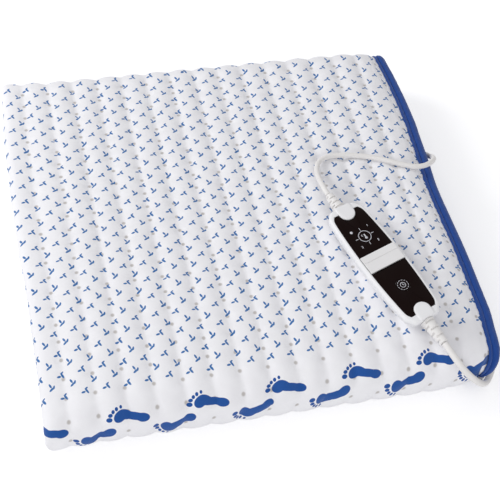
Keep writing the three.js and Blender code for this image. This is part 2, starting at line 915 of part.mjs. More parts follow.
function slideKnob() {
  const low = panelDrop - fitGap;
  const nearY = knobCentreY - knobLength / 2;
  const farY = knobCentreY + knobLength / 2;
  const ridgeY = knobCentreY - knobLength * 0.06;
  const side = new THREE.Shape([
    [nearY, -low],
    [farY, -low],
    [farY, -low + knobThickness * 0.7],
    [ridgeY + knobRidge, -low + knobThickness],
    [ridgeY, -low + knobThickness + knobRidge],
    [nearY + knobRidge, -low + knobThickness],
    [nearY, -low + knobThickness * 0.6],
  ].map(([y, z]) => new THREE.Vector2(y, z)));
  const cap = new THREE.ExtrudeGeometry(side, { depth: knobWidth, bevelEnabled: false });
  // The outline's two axes become Y and Z, and the extrusion runs along X
  const toPlace = new THREE.Matrix4().makeBasis(
    new THREE.Vector3(0, 1, 0),
    new THREE.Vector3(0, 0, 1),
    new THREE.Vector3(1, 0, 0),
  );
  cap.applyMatrix4(toPlace).translate(-knobWidth / 2, 0, 0);
  const stemHigh = stemLowY + stemLength;
  const stem = block(
    [-stemWidth / 2, stemLowY, -stemDepth],
    [stemWidth / 2, stemHigh, -low + knobThickness / 2],
  );
  const foot = block(
    [-stemWidth / 2 - stemFoot, stemLowY - stemFoot / 2, -stemDepth],
    [stemWidth / 2 + stemFoot, stemHigh + stemFoot / 2, -stemDepth + footThickness],
  );
  const pocketHalf = leverWidth / 2 + fitGap;
  const leverY = stemLowY + stemLength / 2;
  const pocket = block(
    [-pocketHalf, leverY - pocketHalf, -stemDepth - cutOver],
    [pocketHalf, leverY + pocketHalf, -leverTop + fitGap],
  );
  return shaped([cap, stem, foot], [pocket]);
}

// A round press key, its cap in the panel and a collar that keeps it in
function key(side) {
  const bottom = ceilingDepth + fitGap + footThickness;
  return shaped([
    rod(keyRadius, -keyThickness, 0, 0, side * keyCentreY, 24),
    rod(keyStemRadius, -bottom, -keyThickness / 2, 0, side * keyCentreY),
    rod(keyCollarRadius, -bottom, -ceilingDepth - fitGap, 0, side * keyCentreY),
  ]);
}

const keyBottom = ceilingDepth + fitGap + footThickness;
const plungerTop = keyBottom + fitGap;
const tactTop = keyBottom + keyTravel + fitGap;

function plunger(side) {
  return rod(
    plungerRadius,
    -plungerTop - plungerLength,
    -plungerTop,
    0,
    side * keyCentreY,
    12,
  );
}

function tactSwitch(side) {
  const y = side * keyCentreY;
  const half = tactSize / 2;
  const body = block(
    [-half, y - half, -boardTopDepth + fitGap],
    [half, y + half, -tactTop],
  );
  const bore = rod(
    plungerRadius + fitGap,
    -plungerTop - plungerLength - keyTravel - fitGap,
    cutOver,
    0,
    y,
    12,
  );
  return shaped([body], [bore]);
}

const leverY = stemLowY + stemLength / 2;
const leverBottom = slideSwitchTop + leverSeat;

function slideSwitchBody() {
  const middleY = leverY - knobTravel / 2;
  const body = block(
    [-slideSwitchWidth / 2, middleY - slideSwitchLength / 2, -boardTopDepth + fitGap],
    [slideSwitchWidth / 2, middleY + slideSwitchLength / 2, -slideSwitchTop],
  );
  const slotHalf = leverWidth / 2 + fitGap;
  const slot = block(
    [-slotHalf, leverY - knobTravel - slotHalf, -leverBottom - fitGap],
    [slotHalf, leverY + slotHalf, cutOver],
  );
  return shaped([body], [slot]);
}

// A plain part under the board, of a given size, at a given place
function underBoard([width, length, height], x, y) {
  const top = -boardBottomDepth - fitGap;
  return block(
    [x - width / 2, y - length / 2, top - height],
    [x + width / 2, y + length / 2, top],
  );
}

function housingScrew(x, y) {
  const headTop = -housingHeight + counterboreDepth - fitGap;
  const profile = [
    [0, headTop - screwHeadHeight],
    [screwHeadRadius, headTop - screwHeadHeight],
    [screwHeadRadius, headTop],
    [screwShankRadius, headTop],
    [screwShankRadius, -screwTipDepth - screwShankRadius],
    [0, -screwTipDepth],
  ];
  const points = profile.map(([radius, z]) => new THREE.Vector2(radius, z));
  const geometry = new THREE.LatheGeometry(points, 12);
  return geometry.rotateX(Math.PI / 2).translate(x, y, 0);
}

// A strain relief: a barrel and collar inside the housing, and a tapered sleeve with grooves
// outside, down to the lead's own size
function relief(side, length, tipRadius) {
  const end = housingLength / 2;
  const collarEnd = end - wall - fitGap;
  const start = end + fitGap;
  const profile = [
    [0, barrelInnerY],
    [barrelRadius, barrelInnerY],
    [barrelRadius, collarEnd - collarLength],
    [collarRadius, collarEnd - collarLength],
    [collarRadius, collarEnd],
    [barrelRadius, collarEnd],
    [barrelRadius, start],
    [reliefBaseRadius, start],
  ];
  const groove = length / (2 * reliefRibs + 1);
  for (let i = 0; i < reliefRibs; i += 1) {
    const radiusAt = (y) => THREE.MathUtils.lerp(
      reliefBaseRadius,
      tipRadius,
      (y - start) / length,
    );
    const low = start + (2 * i + 1) * groove;
    const high = low + groove;
    profile.push(
      [radiusAt(low), low],
      [radiusAt(low) - reliefGroove, low],
      [radiusAt(high) - reliefGroove, high],
      [radiusAt(high), high],
    );
  }
  profile.push([tipRadius, start + length], [0, start + length]);
  const geometry = turnedY(profile, 0, 0, 12);
  if (side < 0) {
    geometry.rotateX(Math.PI);
  }
  return geometry.translate(0, 0, -leadAxisDepth);
}

// The height at which the tilted housing just clears the quilt below it
function restingHeight() {
  const turn = new THREE.Matrix4().makeRotationFromEuler(controller.rotation);
  let height = 0;
  for (const [depth, inset] of baseLayers) {
    for (const p of housingOutline(inset)) {
      const q = new THREE.Vector3(p.x, p.y, -depth).applyMatrix4(turn);
      const lift = topLift(controllerX + q.x, controllerY + q.y);
      height = Math.max(height, packHeight + lift + fitGap - q.z);
    }
  }
  return height;
}

controller.rotation.set(
  controllerPitchDegrees * degrees,
  controllerRollDegrees * degrees,
  controllerYawDegrees * degrees,
  "ZYX",
);
controller.position.set(controllerX, controllerY, restingHeight());
pack.add(controller);

const housingLook = material(housingWhite, 0.45);
const panelLook = material(panelBlack, 0.15);
const partBlack = material(0x26262a, 0.6);
const metal = material(metalGrey, 0.35, 1);
addPiece(controller, "lower_shell", lowerShell(), housingLook);
addPiece(controller, "upper_shell", upperShell(), housingLook);
addPiece(controller, "heat_panel", panel(1), panelLook);
addPiece(controller, "timer_panel", panel(-1), panelLook);
addPiece(controller, "slide_knob", slideKnob(), housingLook);
addPiece(controller, "heat_key", key(1), panelLook);
addPiece(controller, "timer_key", key(-1), panelLook);
addPiece(controller, "heat_plunger", plunger(1), partBlack);
addPiece(controller, "timer_plunger", plunger(-1), partBlack);
addPiece(controller, "heat_switch_body", tactSwitch(1), partBlack);
addPiece(controller, "timer_switch_body", tactSwitch(-1), partBlack);
addPiece(
  controller,
  "slide_switch_lever",
  block(
    [-leverWidth / 2, leverY - leverWidth / 2, -leverBottom],
    [leverWidth / 2, leverY + leverWidth / 2, -leverTop],
  ),
  partBlack,
);
addPiece(controller, "slide_switch_body", slideSwitchBody(), metal);
addPiece(
  controller,
  "circuit_board",
  block(
    [-boardWidth / 2, -boardLength / 2, -boardBottomDepth],
    [boardWidth / 2, boardLength / 2, -boardTopDepth],
  ),
  material(0x2f6b3c, 0.6),
);
lampPlaces.forEach(([x, y], i) => {
  const half = lampSize / 2;
  const lamp = block(
    [x - half, y - half, -boardTopDepth + fitGap],
    [x + half, y + half, -boardTopDepth + fitGap + lampHeight],
  );
  addPiece(controller, `level_lamp_${i + 1}`, lamp, material(0xf4f0dc, 0.3));
});
addPiece(
  controller,
  "filter_capacitor",
  underBoard(capacitorSize, capacitorX, -partsY),
  material(0xc9a227, 0.5),
);
addPiece(
  controller,
  "fuse",
  barY(
    fuseRadius,
    -partsY - fuseLength / 2,
    -partsY + fuseLength / 2,
    fuseX,
    -boardBottomDepth - fitGap - fuseRadius,
    12,
  ),
  material(0xcfd4d6, 0.2),
);
addPiece(controller, "power_switch_chip", underBoard(powerChipSize, -chipX, partsY), partBlack);
addPiece(controller, "control_chip", underBoard(controlChipSize, chipX, partsY), partBlack);
const terminalY = boardLength / 2 - terminalSize[1] / 2 - terminalSetBack;
const terminalLook = material(0x3f7f4a, 0.6);
addPiece(
  controller,
  "blanket_terminal",
  underBoard(terminalSize, 0, terminalY),
  terminalLook,
);
addPiece(controller, "mains_terminal", underBoard(terminalSize, 0, -terminalY), terminalLook);
screwPlaces.forEach(([x, y], i) => {
  addPiece(controller, `housing_screw_${i + 1}`, housingScrew(x, y), metal);
});
addPiece(
  controller,
  "blanket_lead_relief",
  relief(1, blanketReliefLength, blanketLeadDiameter / 2 + 4 * fitGap),
  housingLook,
);
addPiece(
  controller,
  "mains_lead_relief",
  relief(-1, mainsReliefLength, mainsLeadDiameter / 2 + 4 * fitGap),
  housingLook,
);

// Cords

function cordCurve(route) {
  const points = route.map(([x, y, z]) => new THREE.Vector3(x, y, z));
  return new THREE.CatmullRomCurve3(points, false, "centripetal");
}

function cordTube(route, diameter, sides) {
  const curve = cordCurve(route);
  const section = new THREE.Shape();
  for (let i = 0; i < sides; i += 1) {
    const angle = i * 2 * Math.PI / sides;
    const x = Math.cos(angle) * diameter / 2;
    const y = Math.sin(angle) * diameter / 2;
    if (i === 0) {
      section.moveTo(x, y);
    } else {
      section.lineTo(x, y);
    }
  }
  const steps = Math.round(curve.getLength() / (2 * diameter));
  return new THREE.ExtrudeGeometry(section, { steps, bevelEnabled: false, extrudePath: curve });
}

// The coil: the lead spirals in over the floor layer, climbs in the half turn where the
// spiral reverses, and spirals out again on the second layer
const coilLow = tieThickness + fitGap + mainsLeadDiameter / 2;

function coilSpot(turn) {
  const angle = Math.PI / 2 - turn * 2 * Math.PI;
  const radius = coilOuterRadius
    - coilTurnPitch * (coilTurns / 2 - Math.abs(turn - coilTurns / 2));
  const climb = THREE.MathUtils.smoothstep(turn, coilTurns / 2 - 0.25, coilTurns / 2 + 0.25);
  const out = new THREE.Vector3(Math.cos(angle), Math.sin(angle), 0);
  const place = out.clone().multiplyScalar(radius);
  place.add(new THREE.Vector3(coilCentre.x, coilCentre.y, coilLow + climb * coilLayerRise));
  return { place, out };
}

// Spots along the whole coil, with a straight end of one diameter at both ends
function coilSpots(stepsPerTurn) {
  const spots = Array.from(
    { length: coilTurns * stepsPerTurn + 1 },
    (_, i) => coilSpot(i / stepsPerTurn),
  );
  const beyond = ({ place, out }, distance) => ({
    place: place.clone().add(new THREE.Vector3(distance, 0, 0)),
    out,
  });
  return [
    beyond(spots[0], -mainsLeadDiameter),
    ...spots,
    beyond(spots[spots.length - 1], mainsLeadDiameter),
  ];
}

function coil() {
  const spots = coilSpots(coilStepsPerTurn);
  const outline = Array.from({ length: coilSides }, (_, i) => {
    const angle = i * 2 * Math.PI / coilSides;
    return new THREE.Vector2(Math.cos(angle), Math.sin(angle));
  }).map((p) => p.multiplyScalar(mainsLeadDiameter / 2));
  const rings = spots.map(({ place, out }) => outline.map(
    (p) => place.clone().addScaledVector(out, p.x).add(new THREE.Vector3(0, 0, p.y)),
  ));
  return skin(rings, outline);
}

// The least room between two stretches of the coil that lie over half a turn apart
function coilSelfGap(spots, stepsPerTurn) {
  let least = Infinity;
  for (let i = 0; i < spots.length; i += 1) {
    for (let j = i + stepsPerTurn / 2; j < spots.length; j += 1) {
      least = Math.min(least, spots[i].place.distanceTo(spots[j].place));
    }
  }
  return least - mainsLeadDiameter;
}

// A flat band round one side of the coil
function coilTie() {
  const slack = fitGap + mainsLeadDiameter / 2;
  const inner = coilOuterRadius - coilTurnPitch * coilTurns / 2 - slack;
  const outer = coilOuterRadius + slack;
  const low = tieThickness;
  const high = coilLow + coilLayerRise + slack;
  const rounded = (x0, x1, z0, z1, corner) => [
    [x0 + corner, z0],
    [x1 - corner, z0],
    [x1, z0 + corner],
    [x1, z1 - corner],
    [x1 - corner, z1],
    [x0 + corner, z1],
    [x0, z1 - corner],
    [x0, z0 + corner],
  ].map(([x, z]) => new THREE.Vector2(x, z));
  const t = tieThickness;
  const band = new THREE.Shape(rounded(inner - t, outer + t, low - t, high + t, 2 * t));
  band.holes.push(new THREE.Path(rounded(inner, outer, low, high, t)));
  const geometry = new THREE.ExtrudeGeometry(band, { depth: tieWidth, bevelEnabled: false });
  geometry.rotateX(Math.PI / 2);
  return geometry.translate(coilCentre.x, coilCentre.y + tieWidth / 2, 0);
}

// A block with cut corners whose size changes along Y: stations of Y, width and height
function taperedBlock(stations, x, z) {
  const outline = (width, height) => {
    const cut = Math.min(width, height) * 0.22;
    const w = width / 2;
    const h = height / 2;
    return [
      [w - cut, -h], [w, cut - h], [w, h - cut], [w - cut, h],
      [cut - w, h], [-w, h - cut], [-w, cut - h], [cut - w, -h],
    ];
  };
  const rings = stations.map(([y, width, height]) => outline(width, height).map(
    ([px, pz]) => new THREE.Vector3(x + px, y, z + pz),
  ));
  const [, width, height] = stations[0];
  return skin(rings, outline(width, height).map(([px, pz]) => new THREE.Vector2(px, pz)));
}

const cordLook = material(cordWhite, 0.6);
addPiece(pack, "blanket_lead", cordTube(blanketLeadRoute, blanketLeadDiameter, 8), cordLook);
addPiece(pack, "mains_lead", cordTube(mainsLeadRoute, mainsLeadDiameter, 8), cordLook);
addPiece(pack, "mains_coil", coil(), cordLook);
addPiece(pack, "plug_lead", cordTube(plugLeadRoute, mainsLeadDiameter, 8), cordLook);
addPiece(pack, "coil_tie", coilTie(), material(0x3a3a3e, 0.7));

// Connector and socket, in line along Y beside the pack
const connectorStart = connectorReliefY + connectorReliefLength + fitGap;
const connectorEnd = connectorStart + connectorLength;
const socketStart = connectorEnd + fitGap;
const noseEnd = connectorEnd + noseLength;
const contactEnd = noseEnd + fitGap + contactSeat;
const contactPlaces = ends.map((side) => connectorX + side * contactSpacing / 2);

function leadConnector() {
  const body = taperedBlock([
    [connectorStart, connectorWidth * 0.7, connectorHeight * 0.8],
    [connectorStart + connectorLength * 0.3, connectorWidth, connectorHeight],
    [connectorEnd, connectorWidth, connectorHeight],
  ], connectorX, connectorZ);
  const nose = block(
    [connectorX - noseWidth / 2, connectorEnd - cutOver, connectorZ - noseHeight / 2],
    [connectorX + noseWidth / 2, noseEnd, connectorZ + noseHeight / 2],
  );
  const bores = contactPlaces.map((x) => barY(
    contactRadius + fitGap,
    contactEnd - contactLength - fitGap,
    noseEnd + cutOver,
    x,
    connectorZ,
    12,
  ));
  return shaped([body, nose], bores);
}

function leadSocket() {
  const body = taperedBlock([
    [socketStart, connectorWidth, connectorHeight],
    [socketStart + socketLength * 0.8, connectorWidth, connectorHeight],
    [socketStart + socketLength, connectorWidth * 0.85, connectorHeight * 0.8],
  ], connectorX, connectorZ);
  const halfWidth = noseWidth / 2 + fitGap;
  const halfHeight = noseHeight / 2 + fitGap;
  const mouth = block(
    [connectorX - halfWidth, socketStart - cutOver, connectorZ - halfHeight],
    [connectorX + halfWidth, noseEnd + fitGap, connectorZ + halfHeight],
  );
  const seats = contactPlaces.map((x) => barY(
    contactRadius + fitGap,
    noseEnd - cutOver,
    contactEnd + fitGap,
    x,
    connectorZ,
    12,
  ));
  return shaped([body], [mouth, ...seats]);
}

addPiece(
  pack,
  "connector_relief",
  turnedY([
    [0, connectorReliefY],
    [blanketLeadDiameter / 2 + 2 * fitGap, connectorReliefY],
    [connectorHeight * 0.4, connectorReliefY + connectorReliefLength],
    [0, connectorReliefY + connectorReliefLength],
  ], connectorX, connectorZ, 12),
  housingLook,
);
addPiece(pack, "lead_connector", leadConnector(), housingLook);
addPiece(pack, "lead_socket", leadSocket(), housingLook);
contactPlaces.forEach((x, i) => {
  const pin = barY(contactRadius, contactEnd - contactLength, contactEnd, x, connectorZ, 12);
  addPiece(pack, `socket_pin_${i + 1}`, pin, metal);
});

// Plug, lying beside the coil with its pins along -Y
const plugZ = plugHeight / 2 + fitGap;
const plugTailY = plugTopY - plugTailLength;
const plugFaceY = plugTailY - plugLength;
const pinPlaces = ends.map((side) => plugX + side * plugPinSpacing / 2);

function plugBody() {
  const body = taperedBlock([
    [plugFaceY, plugWidth, plugHeight],
    [plugTailY, plugWidth * 0.95, plugHeight],
    [plugTailY + plugTailLength * 0.4, plugWidth * 0.7, plugHeight],
    [plugTopY, plugTailWidth, plugHeight * 0.85],
  ], plugX, plugZ);
  const seats = pinPlaces.map((x) => barY(
    plugPinRadius + fitGap,
    plugFaceY - cutOver,
    plugFaceY + plugPinSeat + fitGap,
    x,
    plugZ,
    12,
  ));
  return shaped([body], seats);
}

addPiece(
  pack,
  "plug_relief",
  turnedY([
    [0, plugTopY + fitGap],
    [plugTailWidth * 0.36, plugTopY + fitGap],
    [mainsLeadDiameter / 2 + 2 * fitGap, plugTopY + plugReliefLength],
    [0, plugTopY + plugReliefLength],
  ], plugX, plugZ, 12),
  housingLook,
);
addPiece(pack, "plug_body", plugBody(), housingLook);
pinPlaces.forEach((x, i) => {
  const low = plugFaceY - plugPinLength;
  const pin = barY(plugPinRadius, low, plugFaceY + plugPinSeat, x, plugZ, 12);
  addPiece(pack, `plug_pin_${i + 1}`, pin, metal);
});

const fineStepsPerTurn = 72;
const fineSpots = coilSpots(fineStepsPerTurn);
const selfGap = coilSelfGap(fineSpots, fineStepsPerTurn);
const wound = fineSpots.slice(1).reduce(
  (sum, { place }, i) => sum + place.distanceTo(fineSpots[i].place),
  0,
);
const freeMains = cordCurve(mainsLeadRoute).getLength() + cordCurve(plugLeadRoute).getLength();
console.log(`coil: least gap to itself ${selfGap.toFixed(2)}, length ${wound.toFixed(0)}`);
console.log(`mains lead: ${(wound + freeMains).toFixed(0)} from housing to plug`);
console.log(`blanket lead: ${cordCurve(blanketLeadRoute).getLength().toFixed(0)}`);
console.log(`blanket: ${pathLengths[pathLengths.length - 1].toFixed(0)} long when unfolded`);
console.log(`controller face centre at height ${controller.position.z.toFixed(2)}`);

export default group;
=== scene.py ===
# %% [markdown]
# # An electric underblanket, folded flat, with its hand controller
# The CAD model holds every piece at its real size. This lesson gives the pieces that show
# their soft shapes, prints and finishes: a quilted cotton cover folded in four, the blue tape
# on its edges, the moulded hand controller, and the two leads.

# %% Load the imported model
import math
import bpy
import numpy as np
from mathutils import Euler, Matrix, Vector


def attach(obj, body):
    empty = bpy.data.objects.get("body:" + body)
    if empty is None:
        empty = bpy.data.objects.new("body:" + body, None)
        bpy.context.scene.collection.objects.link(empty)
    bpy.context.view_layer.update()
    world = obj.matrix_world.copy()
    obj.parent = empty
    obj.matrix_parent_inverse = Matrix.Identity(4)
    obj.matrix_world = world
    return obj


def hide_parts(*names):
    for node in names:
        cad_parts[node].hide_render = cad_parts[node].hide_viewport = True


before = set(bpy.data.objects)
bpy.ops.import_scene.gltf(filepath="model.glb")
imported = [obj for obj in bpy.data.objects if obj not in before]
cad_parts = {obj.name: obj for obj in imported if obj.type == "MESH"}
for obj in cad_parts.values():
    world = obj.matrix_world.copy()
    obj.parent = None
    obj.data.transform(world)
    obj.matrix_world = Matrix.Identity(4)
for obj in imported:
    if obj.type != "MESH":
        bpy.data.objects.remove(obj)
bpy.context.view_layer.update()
base_body = "blanket_and_housing"

# %% [markdown]
# ## Helpers for surfaces
# Every new piece is a surface worked out with numpy. Lengths are in millimetres, counted from
# the middle of the folded pack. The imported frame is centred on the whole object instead, so
# each point moves a little to the left before it becomes metres.

# %% Units
pack_shift = np.array([-8.15, 0.0, 0.0])
millimetre = 0.001


def to_metres(points):
    """Pack millimetres to frame metres: add the shift, then multiply by a thousandth."""
    return (np.asarray(points, float) + pack_shift) * millimetre


print("the pack's middle in the frame, in metres:", to_metres(np.zeros(3)).round(5).tolist())

# %% Faces and lofts
def grid_faces(rows, columns, close_rows=False, close_columns=False):
    """Four-sided faces of a grid whose point number is row times columns plus column."""
    i = np.arange(rows if close_rows else rows - 1)[:, None]
    j = np.arange(columns if close_columns else columns - 1)[None, :]
    next_i = (i + 1) % rows
    next_j = (j + 1) % columns
    corners = [
        i * columns + j, i * columns + next_j, next_i * columns + next_j, next_i * columns + j,
    ]
    return np.stack(np.broadcast_arrays(*corners), -1).reshape(-1, 4)


def signed_volume(points, faces):
    """A sixth of the sum, over each face's fan of triangles, of a . (b x c)."""
    total = 0.0
    for face in faces:
        corners = points[np.asarray(face)]
        a = corners[..., :1, :]
        cross = np.cross(corners[..., 1:-1, :], corners[..., 2:, :])
        total += float((a * cross).sum())
    return total / 6


def loft(rings):
    """A skin through rings of points: each ring joins to the next, and both ends are closed
    with one flat face. Faces are turned round where the volume comes out negative."""
    rings = np.asarray(rings, float)
    rows, columns = rings.shape[:2]
    points = rings.reshape(-1, 3)
    first_end = np.arange(columns)[::-1][None, :]
    last_end = (np.arange(columns) + (rows - 1) * columns)[None, :]
    blocks = [grid_faces(rows, columns, close_columns=True), first_end, last_end]
    if signed_volume(points, blocks) < 0:
        blocks = [block[:, ::-1] for block in blocks]
    return points, blocks


def joined(parts):
    """Several lofts in one list of points and faces."""
    points, blocks, start = [], [], 0
    for part_points, part_blocks in parts:
        points.append(part_points)
        blocks += [block + start for block in part_blocks]
        start += len(part_points)
    return np.concatenate(points), blocks


# %% Mesh objects
def make_piece(name, shape, sharp_angle=None, fabric=None):
    """Puts points and faces into a mesh object. A sharp angle, in degrees, keeps crisp edges,
    and fabric gives each point its place on the flat cloth, in metres, as a UV map."""
    points, blocks = shape
    mesh = bpy.data.meshes.new(name)
    faces = [face for block in blocks for face in block.tolist()]
    mesh.from_pydata(to_metres(points).tolist(), [], faces)
    mesh.polygons.foreach_set("use_smooth", np.ones(len(faces), bool))
    if fabric is not None:
        corner = np.zeros(len(mesh.loops), int)
        mesh.loops.foreach_get("vertex_index", corner)
        layer = mesh.uv_layers.new(name="fabric")
        layer.data.foreach_set("uv", (np.asarray(fabric)[corner] * millimetre).ravel())
    mesh.update()
    if sharp_angle is not None:
        mesh.set_sharp_from_angle(angle=math.radians(sharp_angle))
    piece = bpy.data.objects.new(name, mesh)
    bpy.context.scene.collection.objects.link(piece)
    print(f"{name}: {len(points)} points, {sum(len(f) - 2 for f in faces)} triangles")
    return piece


# %% [markdown]
# ## The camera
# The camera comes first, because the size of every piece on the picture depends on it. Its
# place and its three directions were worked out from the pack's four top corners.

# %% Camera
camera_place = np.array([-205.5, -641.6, 881.4])
camera_right = (0.97283, -0.21477, 0.08651)
camera_down = (-0.12075, -0.78941, -0.60188)
camera_forward = (0.19756, 0.57507, -0.79389)
focal_pixels = 1171.2
frame_pixels = 500
sensor_width = 36

camera_data = bpy.data.cameras.new("camera")
camera_data.sensor_width = sensor_width
camera_data.lens = focal_pixels * sensor_width / frame_pixels
camera = bpy.data.objects.new("camera", camera_data)
axes = np.array([camera_right, -np.array(camera_down), -np.array(camera_forward)]).T
camera.matrix_world = Matrix.Translation(to_metres(camera_place)) @ Matrix(axes.tolist()).to_4x4()
bpy.context.scene.collection.objects.link(camera)
bpy.context.scene.camera = camera
print("lens in millimetres:", round(camera_data.lens, 2))

# %% [markdown]
# ## Materials
# A finish is a tree of nodes that could be wired by hand in the shader editor. Written out,
# the same few steps come back in every tree. A small set of helpers keeps them short: one adds
# a node and wires what it is given, and others build the patterns that several finishes share.

# %% Nodes and wires
def new_material(name):
    """A material with an empty tree but for its output and one Principled shader."""
    look = bpy.data.materials.new(name)
    look.use_nodes = True
    return look, look.node_tree, look.node_tree.nodes["Principled BSDF"]


def wire(tree, value, socket):
    """Links another node's output to a socket, or sets the socket to a plain value."""
    if isinstance(value, bpy.types.NodeSocket):
        tree.links.new(value, socket)
    else:
        socket.default_value = value


def add(tree, kind, inputs=None, **settings):
    """Adds a node of one kind, with its settings and its inputs by name or number."""
    node = tree.nodes.new("ShaderNode" + kind)
    for key, value in settings.items():
        setattr(node, key, value)
    for key, value in (inputs or {}).items():
        wire(tree, value, node.inputs[key])
    return node


def calc(tree, operation, *values, clamp=False):
    """One step of arithmetic on numbers or outputs."""
    inputs = dict(enumerate(values))
    return add(tree, "Math", inputs, operation=operation, use_clamp=clamp).outputs[0]


# %% Colours, patterns and bumps
def fade(tree, value, start, end):
    """Falls smoothly from 1 at start to 0 at end."""
    inputs = {"Value": value, "From Min": start, "From Max": end, "To Min": 1.0, "To Max": 0.0}
    node = add(tree, "MapRange", inputs, interpolation_type="SMOOTHSTEP")
    return node.outputs["Result"]


def mixed(tree, share, first, second):
    """A colour part way from the first to the second."""
    node = add(tree, "Mix", data_type="RGBA")
    wire(tree, share, node.inputs["Factor"])
    wire(tree, first, node.inputs["A"])
    wire(tree, second, node.inputs["B"])
    return node.outputs["Result"]


def object_coordinates(tree):
    """Where a point lies on its piece, in metres."""
    return add(tree, "TexCoord").outputs["Object"]


def noise(tree, coordinates, scale, detail=3.0, roughness=0.55):
    """Cloudy values round a half, whose scale is in clouds per metre."""
    inputs = {"Vector": coordinates, "Scale": scale, "Detail": detail, "Roughness": roughness}
    return add(tree, "TexNoise", inputs).outputs["Fac"]


def bumped(tree, shader, height, strength, distance):
    """Wires a height into the shader's normal, as a bump of a given depth in metres."""
    inputs = {"Height": height, "Strength": strength, "Distance": distance}
    bump = add(tree, "Bump", inputs)
    tree.links.new(bump.outputs["Normal"], shader.inputs["Normal"])


def srgb(red, green, blue):
    """A colour from screen values of 0 to 255, made linear for the shader."""
    values = np.array([red, green, blue]) / 255
    linear = np.where(values <= 0.04045, values / 12.92, ((values + 0.055) / 1.055) ** 2.4)
    return (*linear.tolist(), 1.0)


# %% [markdown]
# Plastic straight from a mould isn't one flat colour. One number for colour and one for
# roughness would do from far away, but close by it looks like a drawing. Here both drift a
# little from place to place, and a grain too fine to model gives the surface its dull bite.

# %% Moulded plastics
drift_scale, rough_scale, rough_range, grain_strength = 45.0, 160.0, 0.06, 0.35


def varied_roughness(tree, shader, value, low, high):
    """Roughness that runs evenly from low to high as a pattern's value goes from 0 to 1."""
    rough = add(tree, "MapRange", {"Value": value, "To Min": low, "To Max": high})
    tree.links.new(rough.outputs["Result"], shader.inputs["Roughness"])


def moulded_plastic(name, colour, shade, roughness, grain, grain_depth, shine=0.5):
    """Plastic from a mould: a colour that drifts a little towards a shade, and a fine grain
    in the surface, whose scale is in grains per metre. Shine is the strength of its mirror
    reflection, where a half is a common plastic."""
    look, tree, shader = new_material(name)
    place = object_coordinates(tree)
    drift = noise(tree, place, drift_scale)
    tree.links.new(mixed(tree, drift, colour, shade), shader.inputs["Base Color"])
    patches = noise(tree, place, rough_scale)
    varied_roughness(tree, shader, patches, roughness - rough_range, roughness + rough_range)
    shader.inputs["Specular IOR Level"].default_value = shine
    bumped(tree, shader, noise(tree, place, grain, 2.0), grain_strength, grain_depth)
    return look


# Each plastic holds its colour, its shade, its roughness, its grains per metre and their depth
# in metres. The panels hardly mirror at all, or their black would turn grey under the sky.
plastics = {
    "housing_white": (srgb(243, 243, 244), srgb(237, 237, 239), 0.42, 2600.0, 0.00006),
    "knob_white": (srgb(240, 239, 239), srgb(232, 231, 231), 0.5, 3400.0, 0.0001),
    "cord_white": (srgb(240, 238, 236), srgb(232, 229, 227), 0.5, 1800.0, 0.00008),
    "relief_white": (srgb(240, 238, 237), srgb(232, 230, 228), 0.5, 2200.0, 0.00008),
    "panel_black": (srgb(18, 8, 7), srgb(24, 13, 12), 0.24, 900.0, 0.00002, 0.04),
    "ink_grey": (srgb(226, 226, 232), srgb(208, 208, 216), 0.5, 900.0, 0.00001),
    "part_black": (srgb(40, 40, 44), srgb(30, 30, 33), 0.55, 2400.0, 0.0001),
    "strap_grey": (srgb(62, 62, 66), srgb(50, 50, 54), 0.7, 3200.0, 0.0003),
    "board_green": (srgb(50, 108, 62), srgb(38, 92, 52), 0.5, 1500.0, 0.00005),
    "terminal_green": (srgb(66, 130, 78), srgb(56, 116, 68), 0.5, 1500.0, 0.00005),
    "capacitor_yellow": (srgb(204, 164, 42), srgb(188, 148, 34), 0.45, 1500.0, 0.00005),
    "lamp_clear": (srgb(246, 242, 224), srgb(236, 230, 208), 0.2, 900.0, 0.00002),
    "glass_grey": (srgb(214, 219, 221), srgb(200, 206, 208), 0.15, 900.0, 0.00002),
}
plastic = {name: moulded_plastic(name, *values) for name, values in plastics.items()}
print("plastics:", ", ".join(plastic))

# %% [markdown]
# The plug's pins, the contacts and the screws are plated metal, drawn or turned, so their fine
# lines all run one way. Noise that is stretched along one axis gives those lines.

# %% Plated metal
streak_stretch, streak_scale = (1.0, 0.08, 1.0), 1800.0
streak_strength, streak_depth = 0.2, 0.00004


def bare_metal(name, colour, shade, roughness):
    """Plated metal: two close tones in long streaks, and fine scratches in the surface."""
    look, tree, shader = new_material(name)
    place = object_coordinates(tree)
    stretched = add(tree, "Mapping", {"Vector": place, "Scale": streak_stretch}).outputs[0]
    streaks = noise(tree, stretched, streak_scale, 4.0)
    tree.links.new(mixed(tree, streaks, colour, shade), shader.inputs["Base Color"])
    shader.inputs["Metallic"].default_value = 1.0
    varied_roughness(tree, shader, streaks, roughness - 0.08, roughness + 0.1)
    bumped(tree, shader, streaks, streak_strength, streak_depth)
    return look


plated_metal = bare_metal("plated_metal", srgb(205, 207, 210), srgb(176, 179, 184), 0.32)
print("metal:", plated_metal.name)
